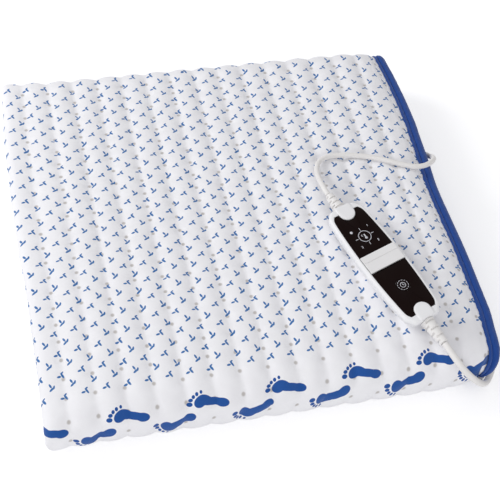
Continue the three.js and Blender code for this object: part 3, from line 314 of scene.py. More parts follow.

# %% [markdown]
# ## The leads
# A lead is a round cable of one length. A curve with a round bevel would make it too. Here its
# line is an array of points, because its length and bends are measured, and because the quilt
# is pressed down under it later. The line runs through listed points, in smooth curves,
# as a thick cable bends: out of the controller, over the quilt, over the edge of the pack, and
# along the floor. The spare mains lead is wound in a flat coil of two layers.

# %% Smooth lines and tubes
def smooth_line(route, step=1.5):
    """A centripetal Catmull-Rom line: between two points a cubic whose slopes at both ends
    come from the neighbours, each weighed by the square root of its distance. The dense line
    is then read at even steps along its length."""
    p = np.asarray(route, float)
    p = np.vstack([2 * p[0] - p[1], p, 2 * p[-1] - p[-2]])
    gap = np.sqrt(np.linalg.norm(np.diff(p, axis=0), axis=1))[:, None]
    before, here, there, after = p[:-3], p[1:-2], p[2:-1], p[3:]
    a, b, c = gap[:-2], gap[1:-1], gap[2:]
    slope_here = ((here - before) / a - (there - before) / (a + b) + (there - here) / b) * b
    slope_there = ((there - here) / b - (after - here) / (b + c) + (after - there) / c) * b
    t = np.linspace(0, 1, 40, endpoint=False)[None, :, None]
    cubic = (
        (2 * t**3 - 3 * t**2 + 1) * here[:, None] + (t**3 - 2 * t**2 + t) * slope_here[:, None]
        + (3 * t**2 - 2 * t**3) * there[:, None] + (t**3 - t**2) * slope_there[:, None]
    )
    dense = np.vstack([cubic.reshape(-1, 3), p[-2]])
    return evenly(dense, step)


def evenly(line, step):
    """Reads a line of points again at even steps along its length."""
    along = np.concatenate([[0], np.cumsum(np.linalg.norm(np.diff(line, axis=0), axis=1))])
    places = np.linspace(0, along[-1], int(round(along[-1] / step)) + 1)
    return np.stack([np.interp(places, along, line[:, k]) for k in range(3)], -1)


def line_length(line):
    """The sum of the distances between neighbouring points."""
    return float(np.linalg.norm(np.diff(line, axis=0), axis=1).sum())


def tube(line, radius, sides=18):
    """Rings round a line: each point plus radius times (cos a * side + sin a * up), where side
    is level and square to the line, and up is square to both."""
    along = np.gradient(line, axis=0)
    along /= np.linalg.norm(along, axis=1, keepdims=True)
    side = np.cross(along, [0, 0, 1.0])
    side /= np.linalg.norm(side, axis=1, keepdims=True)
    up = np.cross(side, along)
    angle = np.linspace(0, 2 * np.pi, sides, endpoint=False)[None, :, None]
    return line[:, None] + radius * (np.cos(angle) * side[:, None] + np.sin(angle) * up[:, None])


# %% Routes
blanket_lead_diameter = 5.0
blanket_lead_route = [
    (79.3, -7.9, 75.5), (77.9, -4, 75.7), (77.2, 1.5, 75.3), (77, 9.5, 73.1), (77.5, 20, 69.6),
    (79.3, 31, 66.4), (84, 41, 64.5), (92.5, 46.5, 64), (104, 47.5, 64),
    (120, 45, 64.1), (136, 40.4, 64.1), (151, 33.9, 63.9), (164, 28.5, 63),
    (175, 25.1, 62.1), (184, 25.5, 61.2), (191.6, 29, 59.7), (198, 35.2, 56.9),
    (201.6, 43.8, 49.9), (203, 53, 41.2), (204, 62, 33.4), (204.6, 71, 25.5),
    (205, 80, 18), (205, 89, 12), (205.6, 98, 8), (206.2, 106, 6.2), (206.3, 113, 5.8),
]
mains_lead_diameter = 6.0
mains_lead_route = [
    (139.3, -171.3, 64.8), (140.6, -175, 64.6), (143.2, -181, 63), (147.2, -187.6, 59.4),
    (152, -192.6, 53.8), (158.3, -195.4, 46.6), (165.5, -196, 37.8), (173, -194, 28.2),
    (180.2, -190.2, 19), (187.5, -184.4, 12), (194.6, -175.6, 7.5), (201.4, -165.5, 4.8),
    (208.8, -156.4, 3.6), (217.4, -149.8, 3.4), (228, -146.2, 3.5), (238, -145.3, 3.8),
    (247, -145.4, 4.1), (255.7, -145.4, 4.2),
]
plug_lead_route = [
    (268.3, -145.4, 10.7), (274, -145.4, 10.6), (281, -145.4, 10), (288, -145.7, 8.8),
    (297, -146.3, 7.6), (307, -148, 6.7), (317, -151.6, 6.5), (325.5, -157.5, 6.7),
    (331.4, -164.8, 6.9), (333.8, -171, 7.1), (334, -175.7, 7.1),
]
for route in (blanket_lead_route, mains_lead_route, plug_lead_route):
    print(len(route), "points from", route[0], "to", route[-1])

# %% The coil, and both whole lines
coil_turns, coil_outer_radius, coil_turn_pitch = 7, 46.6, 6.46
coil_low, coil_layer_rise = 4.2, 6.5
coil_centre = np.array([262.0, -192.0, coil_low])


def soft_step(share):
    """Goes smoothly from 0 to 1: three times the share squared, less twice its cube."""
    share = np.clip(share, 0, 1)
    return share * share * (3 - 2 * share)


def coil_line(steps_per_turn=72):
    """The coil's line: the radius is the outer one less the pitch times the turns made from
    the nearer end, and the height climbs smoothly by one layer where the spiral reverses."""
    turn = np.linspace(0, coil_turns, coil_turns * steps_per_turn + 1)
    angle = np.pi / 2 - turn * 2 * np.pi
    radius = coil_outer_radius - coil_turn_pitch * (coil_turns / 2 - abs(turn - coil_turns / 2))
    climb = soft_step((turn - coil_turns / 2 + 0.25) / 0.5) * coil_layer_rise
    return coil_centre + np.stack([radius * np.cos(angle), radius * np.sin(angle), climb], -1)


blanket_lead_line = smooth_line(blanket_lead_route)
mains_lead_line = evenly(np.vstack([
    smooth_line(mains_lead_route), coil_line(), smooth_line(plug_lead_route),
]), 2.0)
print("blanket lead:", round(line_length(blanket_lead_line)), "mm")
print("mains lead:", round(line_length(mains_lead_line)), "mm")

# %% Lead pieces
def dress(piece, look, body, slot, *nodes):
    """Finishes a piece: its material, the body that it moves with, and the CAD nodes that it
    stands for. The slot that its material would belong to is not used."""
    piece.data.materials.append(look)
    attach(piece, body)
    if nodes:
        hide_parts(*nodes)


blanket_lead_tube = tube(blanket_lead_line, blanket_lead_diameter / 2)
mains_lead_tube = tube(mains_lead_line, mains_lead_diameter / 2, 14)
blanket_lead = make_piece("blanket_lead_cable", loft(blanket_lead_tube))
mains_lead = make_piece("mains_lead_cable", loft(mains_lead_tube))
cord_white, cord_slot = plastic["cord_white"], "cord_sheath"
dress(blanket_lead, cord_white, base_body, cord_slot, "blanket_lead")
dress(mains_lead, cord_white, base_body, cord_slot, "mains_lead", "mains_coil", "plug_lead")

# %% [markdown]
# ## The folded blanket
# The blanket is one long sheet, folded in half along its length, and then over a wrap at the
# front, back over a fold at the rear, and in again. A cloth simulation could fold it, but never
# twice the same way, and the folds have to meet the CAD's. So each point of the flat cloth is
# sent to its place by a formula. A point has two lengths: how far it lies across the cloth from
# the taped edge, and how far along it from the foot end. Each layer of the cloth is the same
# surface at its own height above the middle.

# %% Sizes of the pack
half_width = 198.0
layer_half = 6.85
level_pitch = 14.3
wrap_radius = 1.5 * level_pitch
fold_radius = level_pitch / 2
pack_height = 3 * level_pitch + 2 * layer_half
middle_height = pack_height / 2
front_y, wrap_y, back_fold_y, inner_fold_y, end_y = -191.0, -162.7, 177.0, -160.7, 184.7
corner_y = wrap_y + (back_fold_y - wrap_y) / 4
fold_x = -half_width + layer_half
edge_x = half_width - 8.5


def level_height(level):
    """The height of a level's middle, counted from the floor up in even steps."""
    return layer_half + (level - 1) * level_pitch


print("heights of the four levels, in mm:", [round(level_height(k), 2) for k in (1, 2, 3, 4)])

# %% Stretches of the cloth, from its foot end to its head end
# A flat stretch holds a start, a direction along Y, a height, the way the print faces and its
# length. A turn holds a centre, a radius, a first and a last angle, and the print's side.
stretches = [
    ("flat", end_y, -1, level_height(1), -1, end_y - wrap_y),
    ("turn", wrap_y, middle_height, wrap_radius, 270, 90, 1),
    ("flat", wrap_y, 1, level_height(4), 1, back_fold_y - wrap_y),
    ("turn", back_fold_y, level_height(3.5), fold_radius, 90, -90, 1),
    ("flat", back_fold_y, -1, level_height(3), -1, back_fold_y - inner_fold_y),
    ("turn", inner_fold_y, level_height(2.5), fold_radius, 90, 270, -1),
    ("flat", inner_fold_y, 1, level_height(2), 1, end_y - inner_fold_y),
]


def stretch_length(stretch):
    """A flat stretch's own length, or a turn's radius times its angle."""
    if stretch[0] == "flat":
        return stretch[5]
    return stretch[3] * abs(math.radians(stretch[5] - stretch[4]))


stretch_starts = np.concatenate([[0], np.cumsum([stretch_length(item) for item in stretches])])
cloth_length = stretch_starts[-1]
left_fold_radius = 5.9
fold_arc = np.pi * left_fold_radius
upper_span = edge_x - fold_x
cloth_width = 2 * upper_span + fold_arc
print("cloth laid flat, in mm:", round(cloth_width), "by", round(cloth_length))

# %% Places on the folded cloth
def fold_path(s):
    """Y, Z and the print's normal at each length s from the foot end. On a flat stretch Y goes
    on evenly, and on a turn the angle does."""
    s = np.asarray(s, float)
    out = np.zeros(s.shape + (4,))
    for start, stretch in zip(stretch_starts, stretches):
        here = (s >= start) | (start == 0)
        t = s - start
        if stretch[0] == "flat":
            _, y0, way, height, facing, _ = stretch
            spot = [y0 + way * t, height + 0 * t, 0 * t, facing + 0 * t]
        else:
            _, centre_y, centre_z, radius, first, last, facing = stretch
            angle = np.radians(first) + np.sign(last - first) * t / radius
            y, z = np.cos(angle), np.sin(angle)
            spot = [centre_y + radius * y, centre_z + radius * z, facing * y, facing * z]
        out = np.where(here[..., None], np.stack(spot, -1), out)
    return out


def across(u, n):
    """X and the height above the sheets' middle, at a length u across the cloth from its upper
    taped edge: the upper sheet runs left, turns half round, and runs right again below."""
    u, n = np.broadcast_arrays(np.asarray(u, float), np.asarray(n, float))
    angle = np.clip((u - upper_span) / fold_arc, 0, 1) * np.pi
    beyond = np.maximum(u - upper_span - fold_arc, 0)
    x = np.maximum(edge_x - u, fold_x) - n * np.sin(angle) + beyond
    return x, n * np.cos(angle)


# %% [markdown]
# A folded quilt isn't square: it is thickest in the middle, thins out to its edges, and its
# front right corner draws in. Sculpting would give this once, and a lattice in a few soft bends.
# Short tables do it in numbers that are easy to change, and a moving average rounds them.

# %% How the pack settles
crown_rise = 4.5
corner_inset, corner_undercut, corner_pull = 1.5, 22.0, 7.0
back_spread, back_lift = 6.0, 2.5


def rounded_table(places, values, reach):
    """A table read in straight lines, then averaged over a window on both sides."""
    fine = np.arange(places[0] - 90, places[-1] + 90, 1.0)
    straight = np.interp(fine, places, values)
    window = np.hanning(2 * reach + 3)[1:-1]
    soft = np.convolve(straight, window / window.sum(), "same")
    soft[:reach], soft[-reach:] = straight[:reach], straight[-reach:]
    return lambda at: np.interp(at, fine, soft)


# Where the level middle of the pack ends towards each side
left_slope_x, right_slope_x = -154, 158
lift_across = rounded_table(
    [fold_x - 8, fold_x, left_slope_x, right_slope_x, edge_x, half_width],
    [-1.7, -1.2, 0.1, 0.45, -1.0, -1.3], 14,
)
lift_along = rounded_table([wrap_y, corner_y, back_fold_y], [-0.9, 0.45, 0.8], 30)
front_share = rounded_table([front_y, corner_y], [1.0, 0.0], 18)
back_share = rounded_table([corner_y, back_fold_y], [0.0, 1.0], 18)
corner_share = rounded_table([right_slope_x, edge_x], [0.0, 1.0], 8)
left_share = rounded_table([fold_x, left_slope_x], [1.0, 0.0], 8)
# How far each side swings out or in, at places from front to back
right_waist = rounded_table(
    [-163, -140, -100, -60, -8, 10, 42, 72, 88, 120, 155, 180],
    [0, 2, 0, -1.5, -4, -4.3, -2, -1, 0, -0.7, -3, -6], 8,
)
left_bulge = rounded_table(
    [-190, -147, -124, -75, -45, -20, 30, 62, 92, 123, 155],
    [0, 0.4, 1.2, 0.4, 0.2, -1.8, -2.8, -3.1, -2.7, -1.9, 0.4], 10,
)
middle_rise = crown_rise * float(lift_across(0) + lift_along(0))
print("the middle of the top rises by, in mm:", round(middle_rise, 2))

# %% Settled places
def settle(x, y, z):
    """Moves a point of the square pack to its settled place: up by the lift's share of its
    height, left near the front right corner and back a little there, in or out at both sides
    by their tables, and up and back a little at the back left corner."""
    high = z / pack_height
    front = front_share(y)
    inward = (x - fold_x) / (edge_x - fold_x) * front
    inset = corner_inset + corner_undercut * (1 - high) ** 2
    lift = crown_rise * (lift_across(x) + lift_along(y))
    back_left = back_share(y) * left_share(x) * high
    sides = corner_share(x) * right_waist(y) + left_share(x) * left_bulge(y)
    return np.stack([
        x - inward * inset + high * sides,
        y + corner_pull * front * corner_share(x) + back_spread * back_left,
        z + high * lift + back_lift * back_left,
    ], -1)


def cloth_point(u, s, n):
    """The settled place of a point of the cloth at height n above the sheets' middle."""
    x, up = across(u, n)
    path = fold_path(np.broadcast_to(s, x.shape))
    return settle(x, path[..., 0] + up * path[..., 2], path[..., 1] + up * path[..., 3])


# %% [markdown]
# ## The quilting
# Seams run from foot to head every 24 mm, and a welded spot pins the layers together every
# 16.6 mm along each seam. Between the seams the filling swells up into soft rows of pillows, and
# at each spot the cover dips. A bump in the material would only shade them. As a height above
# the sheet they also shape the pack's edge, and catch the light like real pillows.

# %% Seams and welded spots
channel_pitch = 24.0
first_channel = 31.5
upper_channels = 15
spot_pitch = 16.6
spot_phase = 0.6
# How far the rows of spots and print are drawn in, at distances behind the front fold
drift_places = [0, 20, 51, 82, 113, 144, 175, 206, 237, 268, 299, 330]
drift_values = [0, 1.2, 2.8, 2.1, 0.6, -1.1, -3.2, -5.5, -8.1, -11.0, -14.4, -18.0]


def drawn_place(y):
    """Where a place behind the front fold lies in the even pattern of spots and print: the
    cloth is drawn in a little unevenly, so its rows come closer together towards the back."""
    return y - np.interp(y, drift_places, drift_values)


def ripple(u, s, seed, wavelength, count=14):
    """Soft uneven waves round zero, seldom beyond 2: the sum of several sine waves over the
    square root of their count. A seeded draw gives each its direction, its length near the
    given one, and its phase."""
    draw = np.random.default_rng(seed)
    turn = draw.uniform(0, np.pi, count)
    rate = 2 * np.pi / (wavelength * draw.uniform(0.7, 1.6, count))
    phase = draw.uniform(0, 2 * np.pi, count)
    waves = np.zeros(np.broadcast(u, s).shape)
    for a, k, p in zip(turn, rate, phase):
        waves += np.sin(k * (np.cos(a) * u + np.sin(a) * s) + p)
    return waves / math.sqrt(count)


def channel_distance(u):
    """How far a place across the cloth is from the nearest seam, on the upper sheet or, by
    the same count from the other edge, on the lower one."""
    near_edge = np.minimum(u, cloth_width - u)
    nearest = np.round((near_edge - first_channel) / channel_pitch)
    nearest = np.clip(nearest, 0, upper_channels - 1)
    return near_edge - first_channel - nearest * channel_pitch


print(f"{upper_channels} seams on each sheet, {channel_pitch:.0f} mm apart")

# %% Quilted height of the cover
# Heights above the sheets' middle: the cover's inner face, its seams, and what the pillows add
cover_in, cover_valley, pillow_rise, puff = 4.2, 4.9, 1.95, 0.8
swell_power = 0.75
row_sag, seam_bridge = 0.14, 0.42
# Each set of waves has a height, a seed and a length, and each dimple a depth and a radius
creases = ((0.07, 3, 26.0), (0.04, 4, 9.0))
dimples = ((0.6, 2.4), (0.46, 6.5))
pressed_share = 0.35
tape_margin, tape_slope = 3.6, 9.0
end_margin, end_slope = 9.0, 8.0
loose_start, loose_slope = 14.0, 16.0
lowest_face, highest_face, puffed_extra = 4.4, 7.3, 1.1


def quilt_height(u, s):
    """The cover's outer face above the sheets' middle. Across a row it swells as the power of
    a sine from the seam, along the seam it rises a little between spots, and each spot has a
    round dimple. It lies flat under the tapes and where the pack's weight presses it, and
    puffs up more where nothing lies on it."""
    from_channel = channel_distance(u)
    even = drawn_place(s - stretch_starts[2]) + stretch_starts[2]
    from_spot = (even - spot_phase + spot_pitch / 2) % spot_pitch - spot_pitch / 2
    share = np.clip(abs(from_channel) / (channel_pitch / 2), 0, 1)
    swell = np.sin(share * np.pi / 2) ** swell_power
    bridge = 0.5 - 0.5 * np.cos(2 * np.pi * from_spot / spot_pitch)
    pillow = swell * (1 - row_sag + row_sag * bridge) + (1 - swell) * seam_bridge * bridge
    for rise, seed, wavelength in creases:
        pillow = pillow + rise * ripple(u, s, seed, wavelength)
    near = from_channel**2 + from_spot**2
    dimple = sum(depth * np.exp(-near / radius**2) for depth, radius in dimples)
    hidden = (s < stretch_starts[1]) | (s > stretch_starts[4])
    pressed = np.where(hidden, pressed_share, 1.0)
    free = soft_step((np.minimum(u, cloth_width - u) - tape_margin) / tape_slope)
    free = free * np.clip((np.minimum(s, cloth_length - s) - end_margin) / end_slope, 0, 1)
    top = cover_valley + pillow_rise
    height = cover_valley + pillow_rise * (pillow - dimple)
    height = top - pressed * (top - height)
    rising = (s - stretch_starts[1] - loose_start) / loose_slope
    loose = np.where(s < stretch_starts[3], np.clip(rising, 0, 1), 0)
    height = height + loose * puff * swell
    height = free * height + (1 - free) * cover_valley
    return np.clip(height, lowest_face, highest_face + puffed_extra * loose)


top_across = np.linspace(0, upper_span, 300)[None, :]
top_along = np.linspace(stretch_starts[2], stretch_starts[3], 300)[:, None]
top_heights = quilt_height(top_across, top_along)
print(f"the cover's face: {top_heights.min():.2f} to {top_heights.max():.2f} mm above its middle")

# %% [markdown]
# The cover is one closed shell: round its section run the printed outer face, the half turn
# on the left, the lower sheet, and then the inner face back. The part that is seen has a fine
# grid and the rest a coarse one, so the piece stays light.

# %% Stations along and across the cloth
def spaced(spans):
    """Even places over several spans of (start, end, step), joined without repeats."""
    runs = []
    for start, end, step in spans:
        count = max(int(round((end - start) / step)), 1)
        runs.append(np.linspace(start, end, count, endpoint=False))
    return np.concatenate(runs + [[spans[-1][1]]])


starts = stretch_starts
along_places = spaced([
    (0, 12, 3), (12, starts[1] - 20, 13), (starts[1] - 20, starts[1], 4),
    (starts[1], starts[2], 1.9), (starts[2], starts[3], 2.3), (starts[3], starts[4], 1.7),
    (starts[4], starts[5], 14), (starts[5], starts[6], 2.6),
    (starts[6], cloth_length - 12, 14), (cloth_length - 12, cloth_length, 3),
])
outer_places = spaced([
    (0, 10, 5), (10, upper_span, 2.1), (upper_span, upper_span + fold_arc, 1.7),
    (upper_span + fold_arc, cloth_width - 20, 8), (cloth_width - 20, cloth_width, 5),
])
inner_places = spaced([
    (0, upper_span, 16), (upper_span, upper_span + fold_arc, 2.6),
    (upper_span + fold_arc, cloth_width, 16),
])[::-1]
print("stations along:", len(along_places), "across:", len(outer_places), "+", len(inner_places))

# %% Rings of the folded sheet
def on_fabric(u, s):
    """A place on the flat cloth as the print is seen: X to the right, from where the top face
    has its middle, and Y away from the front fold, by the even pattern."""
    return np.stack([edge_x - u, drawn_place(s - starts[2])], -1).reshape(-1, 2)


def sheet_rings(outer_height, inner_height, outer, inner, along):
    """Rings of a closed sheet: the outer face at one height, the inner one at another."""
    u = np.concatenate([outer, inner])[None, :]
    s = np.asarray(along)[:, None]
    n = np.concatenate([
        np.broadcast_to(outer_height(outer[None, :], s), (len(along), len(outer))),
        np.broadcast_to(inner_height, (len(along), len(inner))),
    ], 1)
    u, s = np.broadcast_arrays(u, s)
    return cloth_point(u, s, n), on_fabric(u, s)


# %% [markdown]
# ## The hand controller's frame
# The controller lies askew on the quilt, turned 20 degrees and tilted a little. Its pieces are
# worked out in its own axes: X across it, Y towards the blanket's lead, and Z up out of its
# face, with the rim at zero.

# %% Controller axes
controller_place = np.array([108.1, -87.2, 76.81])
controller_turn = np.array(Euler([math.radians(a) for a in (3.5, -2.5, 20)], "XYZ").to_matrix())
housing_length, housing_height = 131.0, 16.5


def on_controller(points):
    """From the controller's own axes to the pack's: turn, then move."""
    return np.asarray(points, float) @ controller_turn.T + controller_place


def off_controller(points):
    """From the pack's axes to the controller's own: move back, then turn back."""
    return (np.asarray(points, float) - controller_place) @ controller_turn


print("the controller's middle, in metres:", to_metres(controller_place).round(5).tolist())

# %% [markdown]
# The controller and the leads are heavy enough to sink into the filling. A simulation could
# press them in. Here the cloth below them is lowered to a shallow bowl that just clears them.

# %% Press the quilt down under what lies on it
lead_room, lead_slope, lead_bowl, lead_reach = 0.12, 0.12, 0.05, 2.6
base_half_width, base_half_length = 12.0, 56.0
base_room, base_bowl, base_reach = 0.1, 0.03, 16.0
mains_points_on_pack = 60


def sunk(points, line, radius):
    """Lowers cloth under a lead to below its underside: the line's height, less the radius
    and some room, plus a slope and a bowl that grow with the distance from the line."""
    out = points.copy()
    close = np.abs(points[:, None, :2] - line[None, ::2, :2])
    flat = np.hypot(close[..., 0], close[..., 1])
    nearest = flat.argmin(1)
    gap = flat[np.arange(len(points)), nearest]
    below = line[::2][nearest, 2] - radius - lead_room + lead_slope * gap + lead_bowl * gap**2
    under = gap < lead_reach * radius
    out[under, 2] = np.minimum(out[under, 2], below[under])
    return out


def pressed_by_housing(points):
    """Lowers cloth under the controller to its flat base, and round it to a bowl that rises
    with the square of the distance from the base."""
    own = off_controller(points)
    beyond_side = np.maximum(abs(own[:, 0]) - base_half_width, 0)
    beyond_end = np.maximum(abs(own[:, 1]) - base_half_length, 0)
    reach = np.hypot(beyond_side, beyond_end)
    ceiling = -housing_height - base_room + base_bowl * reach**2
    lowered = np.minimum(own[:, 2], ceiling)
    own[:, 2] = np.where(reach < base_reach, lowered, own[:, 2])
    return on_controller(own)


# %% The printed cover
cover_rings, cover_fabric = sheet_rings(
    quilt_height, cover_in, outer_places, inner_places, along_places,
)
cover_points, cover_faces = loft(cover_rings)
rows, columns = cover_rings.shape[:2]
upper_face = (
    (cover_fabric[:, 1] > starts[1] - starts[2])
    & (cover_fabric[:, 1] < drawn_place(starts[3] - starts[2]))
    & (cover_fabric[:, 0] > fold_x)
    & (np.tile(np.arange(columns), rows) < len(outer_places))
)
top = cover_points[upper_face]
own = off_controller(top)
beneath = (abs(own[:, 0]) < base_half_width) & (abs(own[:, 1]) < base_half_length)
room = float((-housing_height - own[beneath, 2]).min())
print("room under the housing before it is pressed in, in mm:", round(room, 2))
top = pressed_by_housing(top)
top = sunk(top, blanket_lead_line, blanket_lead_diameter / 2)
top = sunk(top, mains_lead_line[:mains_points_on_pack], mains_lead_diameter / 2)
cover_points[upper_face] = top
cover = make_piece("quilted_cover", (cover_points, cover_faces), fabric=cover_fabric)

# %% [markdown]
# Two layers lie inside the cover: the filling, and the inner fabric that holds the wire. They
# never show, so they are the same folded sheet, left smooth, on a grid that is fine only where
# it turns.

# %% Filling and inner fabric
hem = 0.5
coarse_along = spaced([
    (hem, starts[1], 22), (starts[1], starts[2], 6), (starts[2], starts[3], 16),
    (starts[3], starts[4], 3.5), (starts[4], starts[5], 22), (starts[5], starts[6], 3.5),
    (starts[6], cloth_length - hem, 22),
])
coarse_across = spaced([
    (hem, upper_span, 18), (upper_span, upper_span + fold_arc, 3),
    (upper_span + fold_arc, cloth_width - hem, 18),
])


def plain_layer(name, outer, inner):
    """A smooth sheet between two even heights above the sheets' middle."""
    rings, fabric = sheet_rings(
        lambda u, s: outer + 0 * (u + s), inner, coarse_across, coarse_across[::-1], coarse_along,
    )
    return make_piece(name, loft(rings), fabric=fabric)


filling = plain_layer("soft_filling", 3.9, 2.4)
inner_fabric = plain_layer("wire_backing", 1.0, 0.2)

# %% [markdown]
# ## The edge tape
# A woven tape is folded over the cloth's edge and sewn down: a flat flange on the cloth, a
# groove where the seam pulls it in, and a fat roll round the raw edge. A curve with a bevel
# object could carry that section, but it wouldn't know the folds. So the section is a closed
# curve, and each of its points goes through the same formula as the cloth's.

# %% The tape's section
upper_tape_reach, lower_tape_reach, end_tape_reach = 8.5, 3.5, 5.6
groove_end = 0.8


def closed_curve(points, count):
    """A closed smooth curve through control points, read at an even count of places."""
    points = np.asarray(points, float)
    padded = np.vstack([points[-2:], points, points[:3]])
    flat = np.column_stack([padded, np.zeros(len(padded))])
    line = smooth_line(flat, 0.05)
    start = np.linalg.norm(line[:, :2] - points[0], axis=1)
    first = int(start[: len(line) // 2].argmin())
    last = len(line) // 2 + int(start[len(line) // 2:].argmin())
    return evenly(line[first:last + 1], line_length(line[first:last + 1]) / count)[:count, :2]


def tape_profile(reach, count=56):
    """The tape's cut end: pairs of the distance beyond the cloth's edge and the height."""
    flange = [
        (-3.5, 5.02), (-3.65, 5.5), (-3.3, 5.85), (-2.2, 6.0), (-0.9, 5.9), (-0.1, 5.5),
    ]
    groove = [(0.35, 4.8), (0.75, 4.7), (1.15, 5.3)]
    roll = [
        (0.14, 6.2), (0.35, 6.75), (0.6, 6.5), (0.85, 5.2), (1.0, 3.3), (0.88, 1.4), (0.6, 0.5),
        (0.3, 0.3),
    ]
    roll = [(groove_end + share * (reach - groove_end), height) for share, height in roll]
    inside = [
        (0.75, 0.45), (0.4, 1.2), (0.2, 2.6), (0.12, 4.0), (-0.4, 4.92), (-1.5, 5.02),
    ]
    return closed_curve(flange + groove + roll + inside, count)


tape_size = np.ptp(tape_profile(upper_tape_reach), axis=0)
print("the upper tape's width and height, in mm:", tape_size.round(1).tolist())

# %% Tapes along the edges and across the ends
end_tape_top, flange_seam, rough_from = 6.5, -3.0, 3.0


def tape_fabric(along, girth):
    """A place on the flat tape: along it, and round its section in even steps of the girth."""
    round_it = np.linspace(0, girth, along.shape[1])[None, :]
    return np.stack([along, np.broadcast_to(round_it, along.shape)], -1).reshape(-1, 2)


def edge_tape(name, reach, upper):
    """The profile carried along a long edge of the cloth. Its flange wanders a little, and its
    top is a little uneven, by soft waves."""
    profile = tape_profile(reach)
    beyond, height = profile[:, 0][None, :], profile[:, 1][None, :]
    s = spaced([
        (-2, starts[1], 9), (starts[1], starts[2], 1.3), (starts[2], starts[3], 1.4),
        (starts[3], starts[4], 1.5), (starts[4], starts[5], 9), (starts[5], starts[6], 1.6),
        (starts[6], cloth_length + 2, 9),
    ])[:, None]
    wander = 0.25 * ripple(s, 0 * s, 11 if upper else 12, 16.0)
    wander = wander + 0.3 * ripple(s, 0 * s, 14, 4.5)
    soft = height + 0.12 * ripple(s, 3 * beyond, 13, 7.0) * (height > rough_from)
    u = -beyond + wander * (beyond < flange_seam) if upper else cloth_width + beyond
    u, s, soft = np.broadcast_arrays(u, s, soft)
    return make_piece(name, loft(cloth_point(u, s, soft)), fabric=tape_fabric(s, 34))


def end_tape(name, at_foot):
    """The profile carried across an end of the cloth, over both sheets and the half turn."""
    profile = tape_profile(end_tape_reach)
    beyond, height = profile[:, 0][None, :], np.minimum(profile[:, 1], end_tape_top)[None, :]
    u = spaced([
        (-9, upper_span, 9), (upper_span, upper_span + fold_arc, 1.5),
        (upper_span + fold_arc, cloth_width + 4, 9),
    ])[:, None]
    s = -beyond if at_foot else cloth_length + beyond
    u, s, height = np.broadcast_arrays(u, s, height)
    return make_piece(name, loft(cloth_point(u, s, height)), fabric=tape_fabric(u, 22))


upper_tape = edge_tape("upper_edge_tape", upper_tape_reach, True)
lower_tape = edge_tape("lower_edge_tape", lower_tape_reach, False)
foot_tape = end_tape("foot_end_tape", True)
head_tape = end_tape("head_end_tape", False)

# %% [markdown]
# ## Print and weave of the cloth
# The cotton is printed with rows of little three-leaved sprigs, and near the fold with two rows
# of bare footprints. An image could carry the print, but it would blur close by. Here it is
# worked out in the material from the place on the flat cloth, so it stays sharp and bends with
# the quilt. Each leaf, toe and sole is an ellipse: a Mapping node brings it to the unit circle,
# and the distance from the middle tells inside from outside.

# %% Sizes and shapes of the print
leaf_blue, foot_blue, weld_grey = srgb(44, 108, 172), srgb(34, 84, 158), srgb(150, 140, 128)
sprig_pitch, sprig_row, sprig_turn = 17.3, 18.5, 2.06
sprig_first = (-178.6, 8.0)
# The sprigs stop a little behind the front fold, and start again far below it
print_end, print_start_below = 4.2, -60.0
foot_pitch, foot_turn, one_row = 66.2, 1.5, 9000.0
# Each row of footprints: its first one, mirrored or not, how far it goes, and its squeeze
foot_rows = (((-129.5, -14.4), 1, 172.0, 1.0), ((-157.5, -28.9), -1, 192.0, 0.76))

# Each ellipse has a middle, two half sizes and a turn in degrees
sprig_shapes = (
    (
        ((-1.9, -0.4), (1.8, 0.9), 10), ((1.0, 0.4), (2.6, 0.9), -60),
        ((0.9, 2.5), (1.5, 0.7), 35),
    ),
    (
        ((-1.4, 2.4), (2.1, 0.85), -66), ((-0.6, -0.8), (2.4, 0.95), 35),
        ((1.4, 0.6), (1.7, 0.8), 72),
    ),
)
toes = (
    ((-6.4, 6.2), (1.15, 1.15), 0), ((-10.1, 5.3), (1.35, 1.3), 30),
    ((-13.1, 3.9), (1.4, 1.25), 20), ((-15.6, 1.9), (1.9, 1.2), 5),
    ((-16.8, -0.9), (2.5, 1.5), 0),
)
sole = (
    ((-7.8, 0.2), (5.4, 3.7), 16), ((-3.2, 0.7), (6.0, 3.3), -20),
    ((3.4, -1.2), (8.6, 2.7), -9), ((10.6, -2.9), (5.6, 3.0), -8),
)
sole_blend = 0.35
leaf_count = sum(len(shapes) for shapes in sprig_shapes)
print("the print's shapes:", leaf_count, "leaves,", len(toes), "toes,", len(sole), "of a sole")

# %% Marks that repeat
def ellipse_distance(tree, vector, centre, size, turn):
    """The distance from an ellipse's middle in units of its half sizes: 1 on its edge."""
    inputs = {
        "Vector": vector,
        "Location": (centre[0] * millimetre, centre[1] * millimetre, 0),
        "Rotation": (0, 0, math.radians(turn)),
        "Scale": (size[0] * millimetre, size[1] * millimetre, 1),
    }
    node = add(tree, "Mapping", inputs, vector_type="TEXTURE")
    return add(tree, "VectorMath", {0: node.outputs[0]}, operation="LENGTH").outputs["Value"]


def repeated(tree, vector, origin, width, height):
    """The same vector in a cell that repeats, with its zero in the cell's middle."""
    start = (origin[0] * millimetre, origin[1] * millimetre, 0)
    moved = add(tree, "VectorMath", {0: vector, 1: start}, operation="SUBTRACT")
    half = (width * millimetre / 2, height * millimetre / 2, 1)
    inputs = {0: moved.outputs[0], 1: half, 2: tuple(-v for v in half)}
    return add(tree, "VectorMath", inputs, operation="WRAP").outputs[0]


def turned_by(tree, vector, degrees):
    """The vector as read in axes that are turned by some degrees, anticlockwise."""
    inputs = {"Vector": vector, "Rotation": (0, 0, math.radians(degrees))}
    return add(tree, "Mapping", inputs, vector_type="TEXTURE").outputs[0]


def flipped(shape, mirror):
    """An ellipse, or its mirror image front to back."""
    (x, y), size, turn = shape
    return (x, y * mirror), size, turn * mirror


